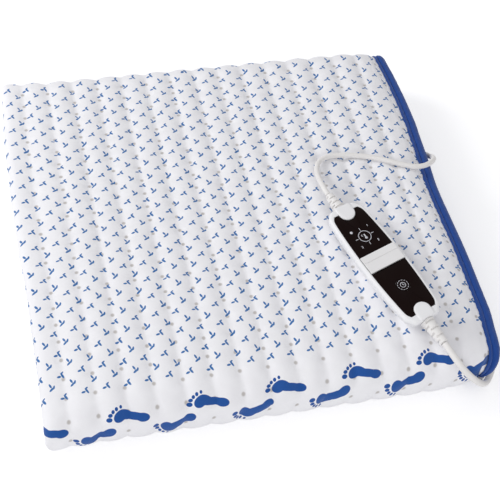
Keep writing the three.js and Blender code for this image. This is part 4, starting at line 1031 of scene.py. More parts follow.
def nearest_of(tree, distances):
    """The smallest of several distances."""
    value = distances[0]
    for other in distances[1:]:
        value = calc(tree, "MINIMUM", value, other)
    return value


# %% [markdown]
# Threads are far too fine to model. Two waves across each other and some fuzz, as a bump a
# quarter of a millimetre deep, give the weave, and a little sheen gives the soft edge that
# light makes on cotton.

# %% Woven surfaces
thread_wave = {"Scale": 420.0, "Distortion": 3.0, "Detail": 2.0, "Detail Scale": 3.0}
fuzz_scale, weave_strength, weave_depth = 900.0, 0.35, 0.00025
cloth_values = {
    "Roughness": 0.92, "Sheen Weight": 0.25, "Sheen Roughness": 0.5, "Specular IOR Level": 0.2,
}


def threads(tree, weave, direction):
    """Fine even bands, a little bent, across one direction of the cloth."""
    inputs = {"Vector": weave, **thread_wave}
    return add(tree, "TexWave", inputs, bands_direction=direction).outputs["Fac"]


def cloth_base(tree, shader, colour_socket, weave):
    """A woven cotton surface: the higher of the threads both ways, plus a soft fuzz."""
    both_ways = calc(tree, "MAXIMUM", threads(tree, weave, "X"), threads(tree, weave, "Y"))
    height = calc(tree, "ADD", both_ways, noise(tree, weave, fuzz_scale, 4.0, 0.6))
    bumped(tree, shader, height, weave_strength, weave_depth)
    tree.links.new(colour_socket, shader.inputs["Base Color"])
    for name, value in cloth_values.items():
        shader.inputs[name].default_value = value


def fabric_coordinates(tree):
    """The place on the flat cloth, in metres, that each point was given when it was made."""
    return add(tree, "UVMap", uv_map="fabric").outputs["UV"]


# %% Plain cloths
def plain_cloth(name, colour, shade, patches, detail=5.0):
    """Cloth of one colour that drifts a little towards a shade, in patches per metre."""
    look, tree, shader = new_material(name)
    fabric = fabric_coordinates(tree)
    drift = noise(tree, fabric, patches, detail)
    cloth_base(tree, shader, mixed(tree, drift, colour, shade), fabric)
    return look


tape_blue = plain_cloth("woven_tape", srgb(26, 64, 136), srgb(34, 78, 156), 240.0, 4.0)
fibre_fill = plain_cloth("fibre_fill", srgb(246, 244, 236), srgb(238, 236, 228), 120.0)
backing_cloth = plain_cloth("backing_cloth", srgb(232, 232, 236), srgb(222, 222, 226), 120.0)

# %% Spots and inks
spot_edge, spot_strength = (0.7, 2.4), 0.6
leaf_edge, foot_edge = (0.82, 1.15), (0.95, 1.05)


def welded_spots(tree, fabric):
    """How much of the weld's grey shows: all within a spot's middle, fading out round it."""
    first_spot = (edge_x - first_channel, spot_phase - starts[2])
    cell = repeated(tree, fabric, first_spot, channel_pitch, spot_pitch)
    distance = ellipse_distance(tree, cell, (0, 0), (1, 1), 0)
    return calc(tree, "MULTIPLY", fade(tree, distance, *spot_edge), spot_strength)


def sprig_ink(tree, fabric, place_y):
    """1 within the nearest leaf of two kinds of sprig, where the second kind stands half a
    cell further both ways, and 0 between the two ends of the printed part."""
    leaves = []
    for shift, shapes in zip((0.0, 0.5), sprig_shapes):
        first = (sprig_first[0] + shift * sprig_pitch, sprig_first[1] + shift * sprig_row)
        straight = turned_by(tree, fabric, sprig_turn)
        cell = repeated(tree, straight, first, sprig_pitch, sprig_row)
        leaves += [ellipse_distance(tree, cell, *shape) for shape in shapes]
    sprigs = fade(tree, nearest_of(tree, leaves), *leaf_edge)
    above = calc(tree, "GREATER_THAN", place_y, print_end * millimetre)
    below = calc(tree, "LESS_THAN", place_y, print_start_below * millimetre)
    return calc(tree, "MULTIPLY", sprigs, calc(tree, "MAXIMUM", above, below))


def footprint_ink(tree, fabric, place_x):
    """1 within a row's toes or its sole, whose ellipses melt into each other by a smooth
    minimum of their distances, and 0 beyond the row's last footprint."""
    ink = 0.0
    for first, mirror, last, squeeze in foot_rows:
        cell = repeated(tree, turned_by(tree, fabric, foot_turn), first, foot_pitch, one_row)
        stretch = {0: cell, 1: (1, squeeze, 1)}
        cell = add(tree, "VectorMath", stretch, operation="MULTIPLY").outputs[0]
        feet = [ellipse_distance(tree, cell, *flipped(shape, mirror)) for shape in toes]
        parts = [ellipse_distance(tree, cell, *flipped(shape, mirror)) for shape in sole]
        melted = parts[0]
        for part in parts[1:]:
            melted = calc(tree, "SMOOTH_MIN", melted, part, sole_blend)
        row = fade(tree, nearest_of(tree, [*feet, melted]), *foot_edge)
        within = calc(tree, "LESS_THAN", place_x, last * millimetre)
        ink = calc(tree, "MAXIMUM", ink, calc(tree, "MULTIPLY", row, within))
    return ink


# %% Printed cotton
ink_patches, ink_range, ink_least = 700.0, 0.45, 0.76


def printed_cotton():
    """White cotton, then the welds' grey, the sprigs and the footprints, one over another."""
    look, tree, shader = new_material("printed_cotton")
    fabric = fabric_coordinates(tree)
    mottled = noise(tree, fabric, 60.0, 4.0)
    white = mixed(tree, mottled, srgb(243, 242, 246), srgb(250, 250, 252))
    cloth = mixed(tree, welded_spots(tree, fabric), white, weld_grey)
    place = add(tree, "SeparateXYZ", {0: turned_by(tree, fabric, sprig_turn)})
    sprigs = sprig_ink(tree, fabric, place.outputs[1])
    footprints = footprint_ink(tree, fabric, place.outputs[0])
    patches = noise(tree, fabric, ink_patches, 2.0)
    uneven = calc(tree, "MULTIPLY_ADD", patches, ink_range, ink_least, clamp=True)
    with_sprigs = mixed(tree, calc(tree, "MULTIPLY", sprigs, uneven), cloth, leaf_blue)
    cloth_base(tree, shader, mixed(tree, footprints, with_sprigs, foot_blue), fabric)
    return look


cotton = printed_cotton()
print("the printed cotton has", len(cotton.node_tree.nodes), "nodes")
for piece, look, slot, node in (
    (cover, cotton, "cover_cloth", "printed_cover"),
    (filling, fibre_fill, "wadding", "wadding"),
    (inner_fabric, backing_cloth, "backing_cloth", "backing_fabric"),
    (upper_tape, tape_blue, "edge_tape", "upper_edge_binding"),
    (lower_tape, tape_blue, "edge_tape", "lower_edge_binding"),
    (foot_tape, tape_blue, "edge_tape", "foot_end_binding"),
    (head_tape, tape_blue, "edge_tape", "head_end_binding"),
):
    dress(piece, look, base_body, slot, node)

# %% [markdown]
# ## The controller's housing
# Two plastic shells meet at a fine parting line. The outline is wide in the middle, narrows a
# little to rounded shoulders, and ends in a neck for each lead. Such a shape could be extruded
# and bevelled, and its opening cut by a boolean. Yet every level of a shell is that same
# outline, drawn in by some amount, so a stack of outlines gives it with clean, even faces.

# %% The housing's outline
housing_width, end_width, neck_width, shoulder = 42.6, 36.6, 17.0, 8.0
outline_points = 480


def half_width_at(y):
    """Half the housing's width, which falls with the square of the way to its shoulder."""
    share = y / (housing_length / 2 - shoulder)
    return (housing_width - (housing_width - end_width) * share**2) / 2


def corner_cut(points, rounds):
    """Rounds a closed outline: each side keeps its two quarter points, over and over."""
    for _ in range(rounds):
        after = np.roll(points, -1, 0)
        pairs = [0.75 * points + 0.25 * after, 0.25 * points + 0.75 * after]
        points = np.stack(pairs, 1).reshape(-1, 2)
    return points


def even_outline(points, count):
    """A closed outline read again at an even count of places, from where it began."""
    loop = np.vstack([points, points[:1]])
    along = np.concatenate([[0], np.cumsum(np.linalg.norm(np.diff(loop, axis=0), axis=1))])
    places = np.linspace(0, along[-1], count, endpoint=False)
    return np.stack([np.interp(places, along, loop[:, k]) for k in range(2)], -1)


def housing_outline(inset, rounds=3):
    """A quarter of the outline, mirrored twice, rounded, and read evenly."""
    end = housing_length / 2 - inset
    start = end - shoulder
    wide, neck = end_width / 2 - inset, neck_width / 2 - inset
    quarter = [(half_width_at(k * start) - inset, k * start) for k in (0, 0.27, 0.54, 0.8, 0.94)]
    quarter += [
        (wide, start), (wide - shoulder * 0.12, start + shoulder * 0.24),
        (wide - shoulder * 0.55, end - shoulder * 0.22),
        (wide - shoulder * 0.8, end - shoulder * 0.06), (neck, end),
    ]
    quarter = np.array(quarter)
    top = np.vstack([quarter, quarter[::-1] * [-1, 1]])
    whole = np.vstack([top, -top[1:-1]])
    return even_outline(corner_cut(whole, rounds), outline_points)


print("the housing from above, in mm:", np.ptp(housing_outline(0), axis=0).round(1).tolist())

# %% The opening's outline
panel_end, lobe_centre, lobe_radius, rim_width = 58.1, 57.3, 7.7, 3.4


def opening_outline(spread):
    """The opening for the panels and the slide: the housing's outline drawn in by the rim, cut
    straight at both ends, with a round bite out of each end for the lead's tongue."""
    points = housing_outline(rim_width - spread, 1)
    side = np.sign(points[:, 1])
    limit = panel_end + spread
    beyond = abs(points[:, 1]) > limit
    points[:, 1] = np.where(beyond, side * limit, points[:, 1])
    bite = lobe_radius + 0.3 - spread
    edge = math.asin(min((limit - lobe_centre) / bite, 1))
    near = beyond & (abs(points[:, 0]) < bite * math.cos(edge))
    angle = -np.pi / 2 + points[:, 0] / (bite * math.cos(edge)) * (np.pi / 2 + edge)
    points[:, 0] = np.where(near, bite * np.cos(angle), points[:, 0])
    points[:, 1] = np.where(near, side * (lobe_centre + bite * np.sin(angle)), points[:, 1])
    return points


print("its opening, in mm:", np.ptp(opening_outline(0), axis=0).round(1).tolist())

# %% Levels and tongues of the shells
tongue_end = 65.2


def at_height(outline, z):
    """A flat outline lifted to one height."""
    return np.column_stack([outline, np.full(len(outline), float(z))])


def controller_piece(name, shape, sharp_angle=None):
    """A piece whose points are given in the controller's own axes."""
    points, faces = shape
    return make_piece(name, (on_controller(points), faces), sharp_angle=sharp_angle)


def stacked(levels):
    """Housing outlines one over another: each is drawn in by an inset, at a depth below zero."""
    return [at_height(housing_outline(inset), -depth) for depth, inset in levels]


def tongue(side):
    """The raised tongue at a lead's exit: a half round and two straight sides, as a stack of
    outlines that draw in towards its crown."""
    turn = np.linspace(np.pi, 2 * np.pi, 61)
    levels = [
        (0, -2.3), (0, 0.35), (0.12, 0.7), (0.4, 0.97), (0.9, 1.16), (1.7, 1.28), (3.0, 1.34),
        (5.0, 1.36),
    ]
    rings = []
    for inset, z in levels:
        radius = lobe_radius - inset
        half = np.column_stack([radius * np.cos(turn), lobe_centre + radius * np.sin(turn)])
        end = tongue_end - 0.5 * inset
        far = [(radius, end - 1.2), (radius - 0.8, end), (0.8 - radius, end), (-radius, end - 1.2)]
        outline = np.vstack([half, far])
        outline[:, 1] *= side
        rings.append(at_height(outline, z))
    return loft(rings)


# %% Shells
# Pairs of a depth and an inset: down the inside, and then up the outer wall to the rim
upper_levels = [
    (3.4, 2.6), (7.05, 2.4), (7.05, 1.1), (6.95, 0.62), (6.75, 0.46), (3.6, 0.0), (2.6, 0.06),
    (1.8, 0.26), (1.1, 0.62), (0.55, 1.1), (0.2, 1.65), (0.04, 2.25),
]
opening_levels = [(0.55, 0.0), (0.38, -0.1), (0.3, -0.3), (0.3, -2.0)]
upper_rings = stacked(upper_levels)
upper_rings += [at_height(opening_outline(spread), z) for spread, z in opening_levels]
upper_shape = joined([loft(upper_rings), tongue(1), tongue(-1)])
upper_shell = controller_piece("housing_top", upper_shape, 40)

# The lower shell: its flat base, its round flank, the parting line and a shallow inside
base_inset = 8.9
flank = smooth_line([
    (16.5, 8.0, 0), (15.6, 6.3, 0), (14.3, 4.75, 0), (12.7, 3.2, 0), (11.0, 2.15, 0),
    (9.2, 1.1, 0), (7.6, 0.52, 0),
], 0.7)[:, :2]
inner_levels = [(7.4, 0.6), (7.3, 1.1), (7.3, 2.4), (11.0, 4.2), (14.7, 8.4)]
lower_rings = stacked([(housing_height, base_inset), *flank, *inner_levels])
lower_shell = controller_piece("housing_bottom", loft(lower_rings), 40)

# %% [markdown]
# ## Panels, keys and the slide
# The two black panels lie just below the rim. A round key sits in each, under its printed
# ring. The white slide between them has a low ridge for the thumb. A round hole cut by a
# boolean would leave long thin faces on the panel's flat top. Here the hole is the inner edge
# of the panel's own grid, so the faces run out from it like rays.

# %% Panels
key_y, key_radius = 28.7, 6.0
knob_middle, knob_length, knob_width, knob_gap = 2.2, 17.7, 35.6, 0.3
straight_points = 60
panel_top = -0.2
# The panel's rounded edge as insets and heights, and the key's hole as gaps and heights
panel_edge = [(0, -1.7), (0, -0.42), (0.06, -0.27), (0.2, panel_top)]
key_hole = [(0.5, panel_top), (0.34, -0.27), (0.3, -0.4), (0.3, -1.7)]


def drawn_in(outline, distance):
    """Each point moved in by a distance, square to the line between its two neighbours."""
    along = np.roll(outline, -1, 0) - np.roll(outline, 1, 0)
    along /= np.linalg.norm(along, axis=1, keepdims=True)
    return outline - distance * np.column_stack([along[:, 1], -along[:, 0]])


def panel_rings(side):
    """The opening's outline beyond the slide, closed by a straight side, as a plate whose
    inner edge is the key's round hole: the hole's points lie towards the outline's own."""
    start = knob_length / 2 + side * knob_middle + knob_gap
    whole = opening_outline(0.0)
    whole = np.roll(whole, outline_points // 4, 0)
    arc = whole[whole[:, 1] > start]
    corner = half_width_at(start) - rim_width
    straight = np.linspace(-corner, corner, straight_points)
    side_of_slide = np.column_stack([straight, np.full(straight_points, start)])
    outline = np.vstack([arc, side_of_slide])
    centre = np.array([0, key_y])
    towards = (outline - centre) / np.linalg.norm(outline - centre, axis=1, keepdims=True)
    rings = [at_height(drawn_in(outline, inset), z) for inset, z in panel_edge]
    rings += [at_height(centre + towards * (key_radius + room), z) for room, z in key_hole]
    rings = np.array(rings + rings[:1])
    rings[..., 1] *= side
    return rings


def closed_skin(rings):
    """A skin whose last ring is its first one: the repeat is dropped and the rows close."""
    rings = np.asarray(rings, float)[:-1]
    points = rings.reshape(-1, 3)
    faces = grid_faces(len(rings), rings.shape[1], True, True)
    if signed_volume(points, [faces]) < 0:
        faces = faces[:, ::-1]
    return points, [faces]


for side, name in ((1, "heat"), (-1, "timer")):
    print(f"points round the {name} panel:", panel_rings(side).shape[1])

# %% Both panels and their keys
def turned(profile, centre, sides=64):
    """A turned solid: a circle for each pair of radius and height, round an upright axis."""
    angle = np.linspace(0, 2 * np.pi, sides, endpoint=False)
    circle = np.column_stack([np.cos(angle), np.sin(angle)])
    return loft([at_height(np.array(centre) + radius * circle, z) for radius, z in profile])


key_top = -0.1
# The key from its foot to its crown: a flange, a stem, and the round cap
key_profile = [
    (4.4, -4.4), (4.4, -3.7), (3.2, -3.7), (3.2, -1.1), (key_radius, -1.1), (key_radius, -0.32),
    (key_radius - 0.06, -0.2), (key_radius - 0.2, -0.13), (key_radius - 0.8, key_top),
    (2.0, key_top),
]
panels, keys = {}, {}
for side, name in ((1, "heat"), (-1, "timer")):
    panels[name] = controller_piece(name + "_panel_cover", closed_skin(panel_rings(side)), 50)
    key_shape = turned(key_profile, (0, side * key_y))
    keys[name] = controller_piece(name + "_key_cap", key_shape, 50)

# %% [markdown]
# The slide is one section all the way across: a low ramp, a ridge, a groove, and a flat tail.
# It could be extruded and bevelled. Carrying the section across by hand lets both of its sides
# shrink in by a few hundredths, which rounds their edges. Below it hangs the foot that drives
# the switch.

# %% Slide
slide_underside = 0.12
slide_section = np.array([
    (-6.65, slide_underside), (-6.65, 0.85), (-6.45, 1.12), (-5.9, 1.25), (-2.5, 1.45),
    (2.6, 1.72), (3.25, 1.8), (3.5, 1.7), (3.6, 0.95), (3.95, 0.95), (4.05, 1.32), (5.4, 1.3),
    (7.5, 1.27), (10.3, 1.15), (10.85, 1.02), (11.05, 0.8), (11.05, slide_underside),
    (6, slide_underside), (0, slide_underside), (-4, slide_underside),
])
slide_middle = np.array([knob_middle, 0.6])
# How far in from a side each cut lies, and how much of the section's size it keeps
slide_sides = [(0, 0.93), (0.08, 0.975), (0.3, 0.995), (0.6, 1)]


def slide_rings():
    """The slide's section, in Y and Z, carried across it: each cut is the section scaled
    towards its middle, much in Z and little in Y."""
    section = even_outline(slide_section, 150)
    cuts = [(inset - knob_width / 2, scale) for inset, scale in slide_sides]
    cuts += [(-x, scale) for x, scale in cuts[::-1]]
    rings = []
    for x, scale in cuts:
        drawn = slide_middle + (section - slide_middle) * [1 - (1 - scale) * 0.12, scale]
        rings.append(np.column_stack([np.full(len(drawn), x), drawn]))
    return loft(rings)


def brick(low, high):
    """A plain block as two square rings."""
    (x0, y0, z0), (x1, y1, z1) = low, high
    square = np.array([(x0, y0), (x1, y0), (x1, y1), (x0, y1)])
    return loft([at_height(square, z0), at_height(square, z1)])


slide_foot = [brick((-5, 3.2, -4.4), (5, 7.2, 0.4)), brick((-6.3, 2.55, -4.4), (6.3, 7.85, -3.7))]
slide = controller_piece("slide_cap", joined([slide_rings(), *slide_foot]), 32)

# %% [markdown]
# ## Strain reliefs
# A soft sleeve grips each lead where it leaves the housing. Short slots in it, set in turn on
# top and at the sides, let it bend. Booleans could cut them. Here the sleeve's radius is a
# function of the place along it and the way round it, and simply drops inside each slot, so
# the whole sleeve is one even grid.

# %% Slotted sleeves
# A slot's depth, and shares of the pitch between slots: half its width, and its sloping wall
taper_power, slot_depth, slot_half_share, slot_wall_share = 0.85, 1.6, 0.27, 0.08


def slotted_sleeve(start, length, base, tip, way, slots=6):
    """A tapered tube along Y. At each slot's place the radius drops by the slot's depth, along
    part of the way round: on top and below for even slots, and at the sides for odd ones."""
    y = np.linspace(0, length, 220)[:, None]
    angle = np.linspace(0, 2 * np.pi, 120, endpoint=False)[None, :]
    radius = base + (tip - base) * (y / length) ** taper_power
    pitch = length / (slots + 0.5)
    depth = 0 * y * angle
    for k in range(slots):
        off = abs(y - (k + 0.7) * pitch) / pitch
        lean = np.cos(2 * angle + (0 if k % 2 else np.pi))
        open_way = np.clip((lean + 0.25) / 0.22, 0, 1)
        within = np.clip((slot_half_share - off) / slot_wall_share, 0, 1)
        depth = np.maximum(depth, within * open_way)
    radius = radius - slot_depth * depth * (1 - 0.3 * y / length)
    lip = np.clip(y / 0.5, 0, 1) ** 0.5 * np.clip((length - y) / 0.6 + 0.1, 0.1, 1) ** 0.5
    radius = radius * (0.88 + 0.12 * lip)
    rings = np.stack([
        radius * np.cos(angle), start + way * y + 0 * angle, radius * np.sin(angle),
    ], -1)
    stub = rings[:1] * [0.6, 1, 0.6] - np.array([0, way * 4.0, 0])
    return np.concatenate([stub, rings])


relief_start, relief_radius, relief_depth = 65.6, 6.4, 6.5


def relief_piece(name, length, tip, way):
    """A slotted sleeve out of one end of the housing, at the lead's depth below the rim."""
    rings = slotted_sleeve(way * relief_start, length, relief_radius, tip, way)
    rings[..., 2] -= relief_depth
    return controller_piece(name, loft(rings), 60)


blanket_relief = relief_piece("blanket_lead_sleeve", 18.2, 3.7, 1)
mains_relief = relief_piece("mains_lead_sleeve", 24.2, 4.2, -1)

# %% [markdown]
# ## Printed marks
# The marks are thin ink on the panels: a ring round each key with ticks between the level
# numbers, a small thermometer, and a clock. Text objects and curves could be made meshes for
# this, but the marks are only a few strokes. Each stroke is a ribbon, a hair above its panel.

# %% Ink strokes
ink_height, ink_thickness = 0.012, 0.02
thin_stroke, off_dot_width = 0.42, 1.3


def ribbon(points, width, base):
    """A flat bar of a given width through points in the plane, with square ends."""
    line = np.asarray(points, float)
    along = np.gradient(line, axis=0)
    along /= np.linalg.norm(along, axis=1, keepdims=True)
    side = np.column_stack([-along[:, 1], along[:, 0]]) * width / 2
    low, high = base + ink_height, base + ink_height + ink_thickness
    corners = [(line - side, low), (line + side, low), (line + side, high), (line - side, high)]
    return loft(np.stack([at_height(xy, z) for xy, z in corners], 1))


def arc_points(centre, radius, first, last, count=24):
    """Points round part of a circle, between two angles in degrees."""
    angle = np.radians(np.linspace(first, last, count))
    return np.column_stack([centre[0] + radius * np.cos(angle), centre[1] + radius * np.sin(angle)])


def figure(kind, centre):
    """A level's number, about 1.9 mm high, or a small round dot for off, as ribbons."""
    x, y = centre
    if kind == "1":
        tip = (x + 0.05, y + 0.95)
        lines = [[(x - 0.45, y + 0.5), tip], [tip, (x + 0.05, y - 0.95)]]
    elif kind == "2":
        bow = arc_points((x, y + 0.4), 0.55, 170, -30, 14)
        foot = [(x - 0.6, y - 0.92), (x + 0.65, y - 0.92)]
        lines = [np.vstack([bow, [(x - 0.55, y - 0.9)]]), foot]
    elif kind == "3":
        lines = [
            arc_points((x, y + 0.45), 0.48, 150, -90, 14),
            arc_points((x, y - 0.48), 0.52, 90, -150, 14),
        ]
    else:
        lines = [arc_points((x, y), 0.65, 0, 360, 20)]
    width = off_dot_width if kind == "0" else thin_stroke
    return [ribbon(line, width, panel_top) for line in lines]


# %% The ink on the upper panel and its key
heat_centre = np.array([0.0, key_y])
tick_start, tick_end, tick_width, figure_reach = 6.6, 9.5, 0.48, 8.6
heat_marks = []
for way in ((1, 0), (0, 1), (-1, 0), (0, -1)):
    ends = heat_centre + np.array([[tick_start], [tick_end]]) * way
    heat_marks.append(ribbon(ends, tick_width, panel_top))
for kind, way in (("1", (1, 1)), ("2", (1, -1)), ("3", (-1, -1)), ("0", (-1, 1))):
    heat_marks += figure(kind, heat_centre + figure_reach * np.array(way))

# A ring, and inside it a thermometer's stem and bulb, with a small C beside them
heat_key_marks = [
    ribbon(arc_points(heat_centre, 5.6, 0, 360, 120), 0.5, key_top),
    ribbon([(0.5, key_y - 1.2), (0.5, key_y + 2.2)], 1.2, key_top),
    ribbon(arc_points((0.5, key_y - 1.8), 0.6, 0, 360, 24), 1.4, key_top),
    ribbon(arc_points((-1.7, key_y + 1.5), 0.75, 60, 300, 16), thin_stroke, key_top),
]
print("strokes on the panel:", len(heat_marks), "and on its key:", len(heat_key_marks))

# %% The ink on the lower key
timer_centre = np.array([0.0, -key_y])
ring_radius, ring_stroke, ring_dash, ring_step = 4.8, 0.4, 19, 30
timer_key_marks = [
    ribbon(arc_points(timer_centre, ring_radius, a, a + ring_dash, 8), ring_stroke, key_top)
    for a in range(0, 360, ring_step)
]
# A clock's face and its two hands
clock_radius, clock_stroke = 2.4, 0.45
timer_key_marks.append(
    ribbon(arc_points(timer_centre, clock_radius, 0, 360, 40), clock_stroke, key_top),
)
for hand in ((0, 1.5), (1.1, -0.6)):
    timer_key_marks.append(ribbon([timer_centre, timer_centre + hand], clock_stroke, key_top))

for name, parts, body in (
    ("level_marks", heat_marks, base_body), ("heat_key_marks", heat_key_marks, "heat_key"),
    ("timer_key_marks", timer_key_marks, "timer_key"),
):
    dress(controller_piece(name, joined(parts)), plastic["ink_grey"], body, "panel_plastic")

# %% [markdown]
# ## Connector, plug and strap
# The blanket's lead ends in a small moulded connector in its socket on the blanket's edge,
# and the mains lead in a flat two-pin plug. A grey strap holds the coil. Each could start as a
# cube with a bevel, but their sides swell and taper, so a rounded rectangle that changes its
# size from station to station fits them better.

# %% Moulded bodies along Y
def rounded_box(half_x, half_z, corner, count=16):
    """A rounded rectangle's outline in X and Z."""
    turn = np.radians(np.linspace(0, 90, count))
    arc = corner * np.column_stack([np.cos(turn), np.sin(turn)])
    middle = np.array([half_x - corner, half_z - corner])
    first = middle + arc
    second = (first * [-1, 1])[::-1]
    return np.vstack([first, second, -first, -second])


def body_along_y(stations, x, z):
    """A skin through rounded rectangles: each station gives Y, both half sizes and a corner."""
    rings = []
    for y, half_x, half_z, corner in stations:
        outline = rounded_box(half_x, half_z, corner)
        at_y = np.full(len(outline), y)
        rings.append(np.column_stack([x + outline[:, 0], at_y, z + outline[:, 1]]))
    return loft(rings)


connector_axis, plug_axis = (206.3, 5.8), (334.0, 7.1)


def end_sleeve(name, axis, start, length, base, tip, way, slots):
    """A slotted sleeve round the end of a lead, along Y at one X and Z."""
    rings = slotted_sleeve(start, length, base, tip, way, slots)[1:]
    return make_piece(name, loft(rings + np.array([axis[0], 0, axis[1]])), sharp_angle=60)


def grip_ridge(y):
    """A thin raised band round the connector, for the fingers."""
    low, high = (8.25, 3.0, 1.4), (8.35, 3.2, 1.4)
    stations = [(y, *low), (y + 0.25, *high), (y + 0.95, *high), (y + 1.2, *low)]
    return body_along_y(stations, *connector_axis)


# %% Connector
connector_sleeve = end_sleeve("connector_sleeve", connector_axis, 113.3, 14.0, 3.1, 4.6, 1, 4)
connector_grip = body_along_y([
    (127.6, 4.6, 3.8, 2.2), (128.1, 5.6, 4.3, 2.6), (131, 6.9, 5.0, 2.6),
    (135.5, 7.8, 5.4, 2.5), (140, 8.0, 5.5, 2.2), (150.9, 8.0, 5.5, 2.0),
    (151.9, 7.8, 5.3, 1.9), (152.3, 7.3, 4.9, 1.6),
], *connector_axis)
connector_nose = body_along_y([
    (152.2, 5.9, 3.4, 1.2), (163.8, 5.9, 3.4, 1.2), (164.3, 5.5, 3.0, 1.0),
], *connector_axis)
ridges = [grip_ridge(y) for y in (138.0, 140.4, 142.8, 145.2, 147.6)]
connector = make_piece(
    "connector_body", joined([connector_grip, connector_nose, *ridges]), sharp_angle=45,
)

# %% Plug
plug = make_piece("plug_shell", body_along_y([
    (-196.0, 4.6, 4.2, 3.2), (-196.6, 5.8, 4.9, 3.8), (-201, 6.8, 5.5, 4.2),
    (-206, 8.4, 6.1, 4.6), (-210, 11.6, 6.5, 5.0), (-214, 14.9, 6.75, 5.2),
    (-218.5, 16.9, 6.85, 5.2), (-224, 17.65, 6.85, 5.0), (-231.5, 17.65, 6.85, 4.6),
    (-233.2, 17.2, 6.5, 4.2), (-234.0, 16.2, 5.6, 3.4),
], *plug_axis), sharp_angle=45)
plug_sleeve = end_sleeve("plug_sleeve", plug_axis, -176.0, 19.7, 3.6, 5.2, -1, 5)

# %% Strap round the coil
strap_low, strap_high, strap_slack, strap_corner = 0.9, 14.0, 3.3, 3.2
strap_gap, strap_section = 0.45, (0.42, 4.5, 0.3)


def strap_rings():
    """A rounded loop in X and Z round the coil's cross section, with a thin rounded section
    of the strap's width carried along it."""
    inner = coil_outer_radius - coil_turn_pitch * coil_turns / 2 - strap_slack
    outer = coil_outer_radius + strap_slack
    middle_x, middle_z = (inner + outer) / 2, (strap_low + strap_high) / 2
    half_x, half_z = (outer - inner) / 2 + strap_gap, (strap_high - strap_low) / 2 + strap_gap
    rings = []
    section = rounded_box(*strap_section, 6)
    loop = rounded_box(half_x, half_z, strap_corner, 10)
    wide = rounded_box(half_x + 1, half_z + 1, strap_corner + 1, 10)
    out = wide - loop
    out /= np.linalg.norm(out, axis=1, keepdims=True)
    for spot, normal in zip(loop, out):
        x = middle_x + spot[0] + normal[0] * section[:, 0]
        z = middle_z + spot[1] + normal[1] * section[:, 0]
        rings.append(np.column_stack([coil_centre[0] + x, coil_centre[1] + section[:, 1], z]))
    return np.array(rings + rings[:1])


strap = make_piece("coil_strap", closed_skin(strap_rings()), sharp_angle=50)

# %% [markdown]
# ## Finishes and bodies
# Every moulded piece now gets its finish, the body that it moves with, and the CAD node that
# it stands for. The parts inside keep the CAD's own meshes, since nobody sees them closely,
# and only their finishes are new.

# %% Moulded pieces
for piece, look, body, node in (
    (upper_shell, "housing_white", base_body, "upper_shell"),
    (lower_shell, "housing_white", base_body, "lower_shell"),
    (slide, "knob_white", "slide_knob", "slide_knob"),
    (blanket_relief, "relief_white", base_body, "blanket_lead_relief"),
    (mains_relief, "relief_white", base_body, "mains_lead_relief"),
    (connector_sleeve, "relief_white", base_body, "connector_relief"),
    (connector, "housing_white", base_body, "lead_connector"),
    (plug, "housing_white", base_body, "plug_body"),
    (plug_sleeve, "relief_white", base_body, "plug_relief"),
):
    dress(piece, plastic[look], body, "housing_plastic", node)
for name in ("heat", "timer"):
    dress(panels[name], plastic["panel_black"], base_body, "panel_plastic", name + "_panel")
    dress(keys[name], plastic["panel_black"], name + "_key", "panel_plastic", name + "_key")
dress(strap, plastic["strap_grey"], base_body, "tie_strap", "coil_tie")

# %% The parts inside
node_finishes = {
    "heating_wire": cord_white, "lead_socket": plastic["housing_white"],
    "circuit_board": plastic["board_green"], "filter_capacitor": plastic["capacitor_yellow"],
    "fuse": plastic["glass_grey"], "slide_switch_body": plated_metal,
    "blanket_terminal": plastic["terminal_green"], "mains_terminal": plastic["terminal_green"],
}
for name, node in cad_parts.items():
    look = node_finishes.get(name, plastic["part_black"])
    if name.startswith("level_lamp"):
        look = plastic["lamp_clear"]
    elif "pin" in name or "screw" in name:
        look = plated_metal
    node.data.materials.clear()
    node.data.materials.append(look)
print("CAD nodes given a finish:", len(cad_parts))

# %% [markdown]
# ## Floor and light
# The photograph has a white ground and soft light from the left. More light on the scene would
# turn the ground white, but would burn out the white cloth as well. So the floor is pale and
# keeps the pack's shadow, and only what looks straight at the surroundings, such as the camera
# or a shiny face, sees them as white. Two large lamps and an even sky give the soft light.

# %% Floor
floor_reach, floor_glow = 3.0, 0.42
ways = ((-1, -1), (1, -1), (1, 1), (-1, 1))
floor_corners = [(x * floor_reach, y * floor_reach, 0) for x, y in ways]
floor_mesh = bpy.data.meshes.new("floor")
floor_mesh.from_pydata(floor_corners, [], [(0, 1, 2, 3)])
floor = bpy.data.objects.new("floor", floor_mesh)
bpy.context.scene.collection.objects.link(floor)


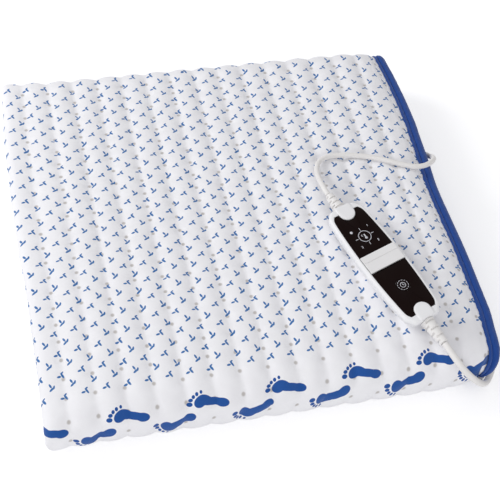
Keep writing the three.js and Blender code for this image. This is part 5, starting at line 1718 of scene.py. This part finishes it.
def seen_directly(tree):
    """1 for camera, mirror and see-through rays, and 0 for the light that pieces get."""
    rays = add(tree, "LightPath").outputs
    seen = calc(tree, "MAXIMUM", rays["Is Camera Ray"], rays["Is Glossy Ray"])
    return calc(tree, "MAXIMUM", seen, rays["Is Transmission Ray"])


floor_look, tree, shader = new_material("pale_floor")
shader.inputs["Base Color"].default_value = (0.86, 0.86, 0.87, 1)
shader.inputs["Roughness"].default_value = 1.0
shader.inputs["Specular IOR Level"].default_value = 0.0
glow = calc(tree, "MULTIPLY", seen_directly(tree), floor_glow)
tree.links.new(glow, shader.inputs["Emission Strength"])
shader.inputs["Emission Color"].default_value = (1, 1, 1, 1)
floor.data.materials.append(floor_look)
print("floor, in metres across:", 2 * floor_reach)

# %% World
sky_colour, sky_strength = (0.98, 0.98, 1.0, 1), 0.55
world = bpy.data.worlds.new("studio")
world.use_nodes = True
bpy.context.scene.world = world
tree = world.node_tree
soft = add(tree, "Background", {"Color": sky_colour, "Strength": sky_strength})
white = add(tree, "Background", {"Color": (1, 1, 1, 1), "Strength": 1.0})
blend = add(tree, "MixShader")
tree.links.new(seen_directly(tree), blend.inputs[0])
tree.links.new(soft.outputs[0], blend.inputs[1])
tree.links.new(white.outputs[0], blend.inputs[2])
tree.links.new(blend.outputs[0], tree.nodes["World Output"].inputs["Surface"])
print("sky strength:", sky_strength)

# %% Lamps
aim = np.zeros(3)


def lamp(name, place, size, energy):
    """A square lamp at a place, with a side in metres and a power in watts, turned so that it
    shines at the middle of the floor."""
    data = bpy.data.lights.new(name, "AREA")
    data.size = size
    data.energy = energy
    made = bpy.data.objects.new(name, data)
    made.rotation_euler = Vector(aim - place).to_track_quat("-Z", "Y").to_euler()
    made.location = place
    bpy.context.scene.collection.objects.link(made)
    print(f"{name}: {energy} W at {place}")


lamp("front_window", (-0.1, -1.7, 0.8), 1.0, 8.5)
lamp("left_window", (-1.5, 0.8, 1.05), 0.8, 17)

scene = bpy.context.scene
scene.view_settings.view_transform = "Standard"
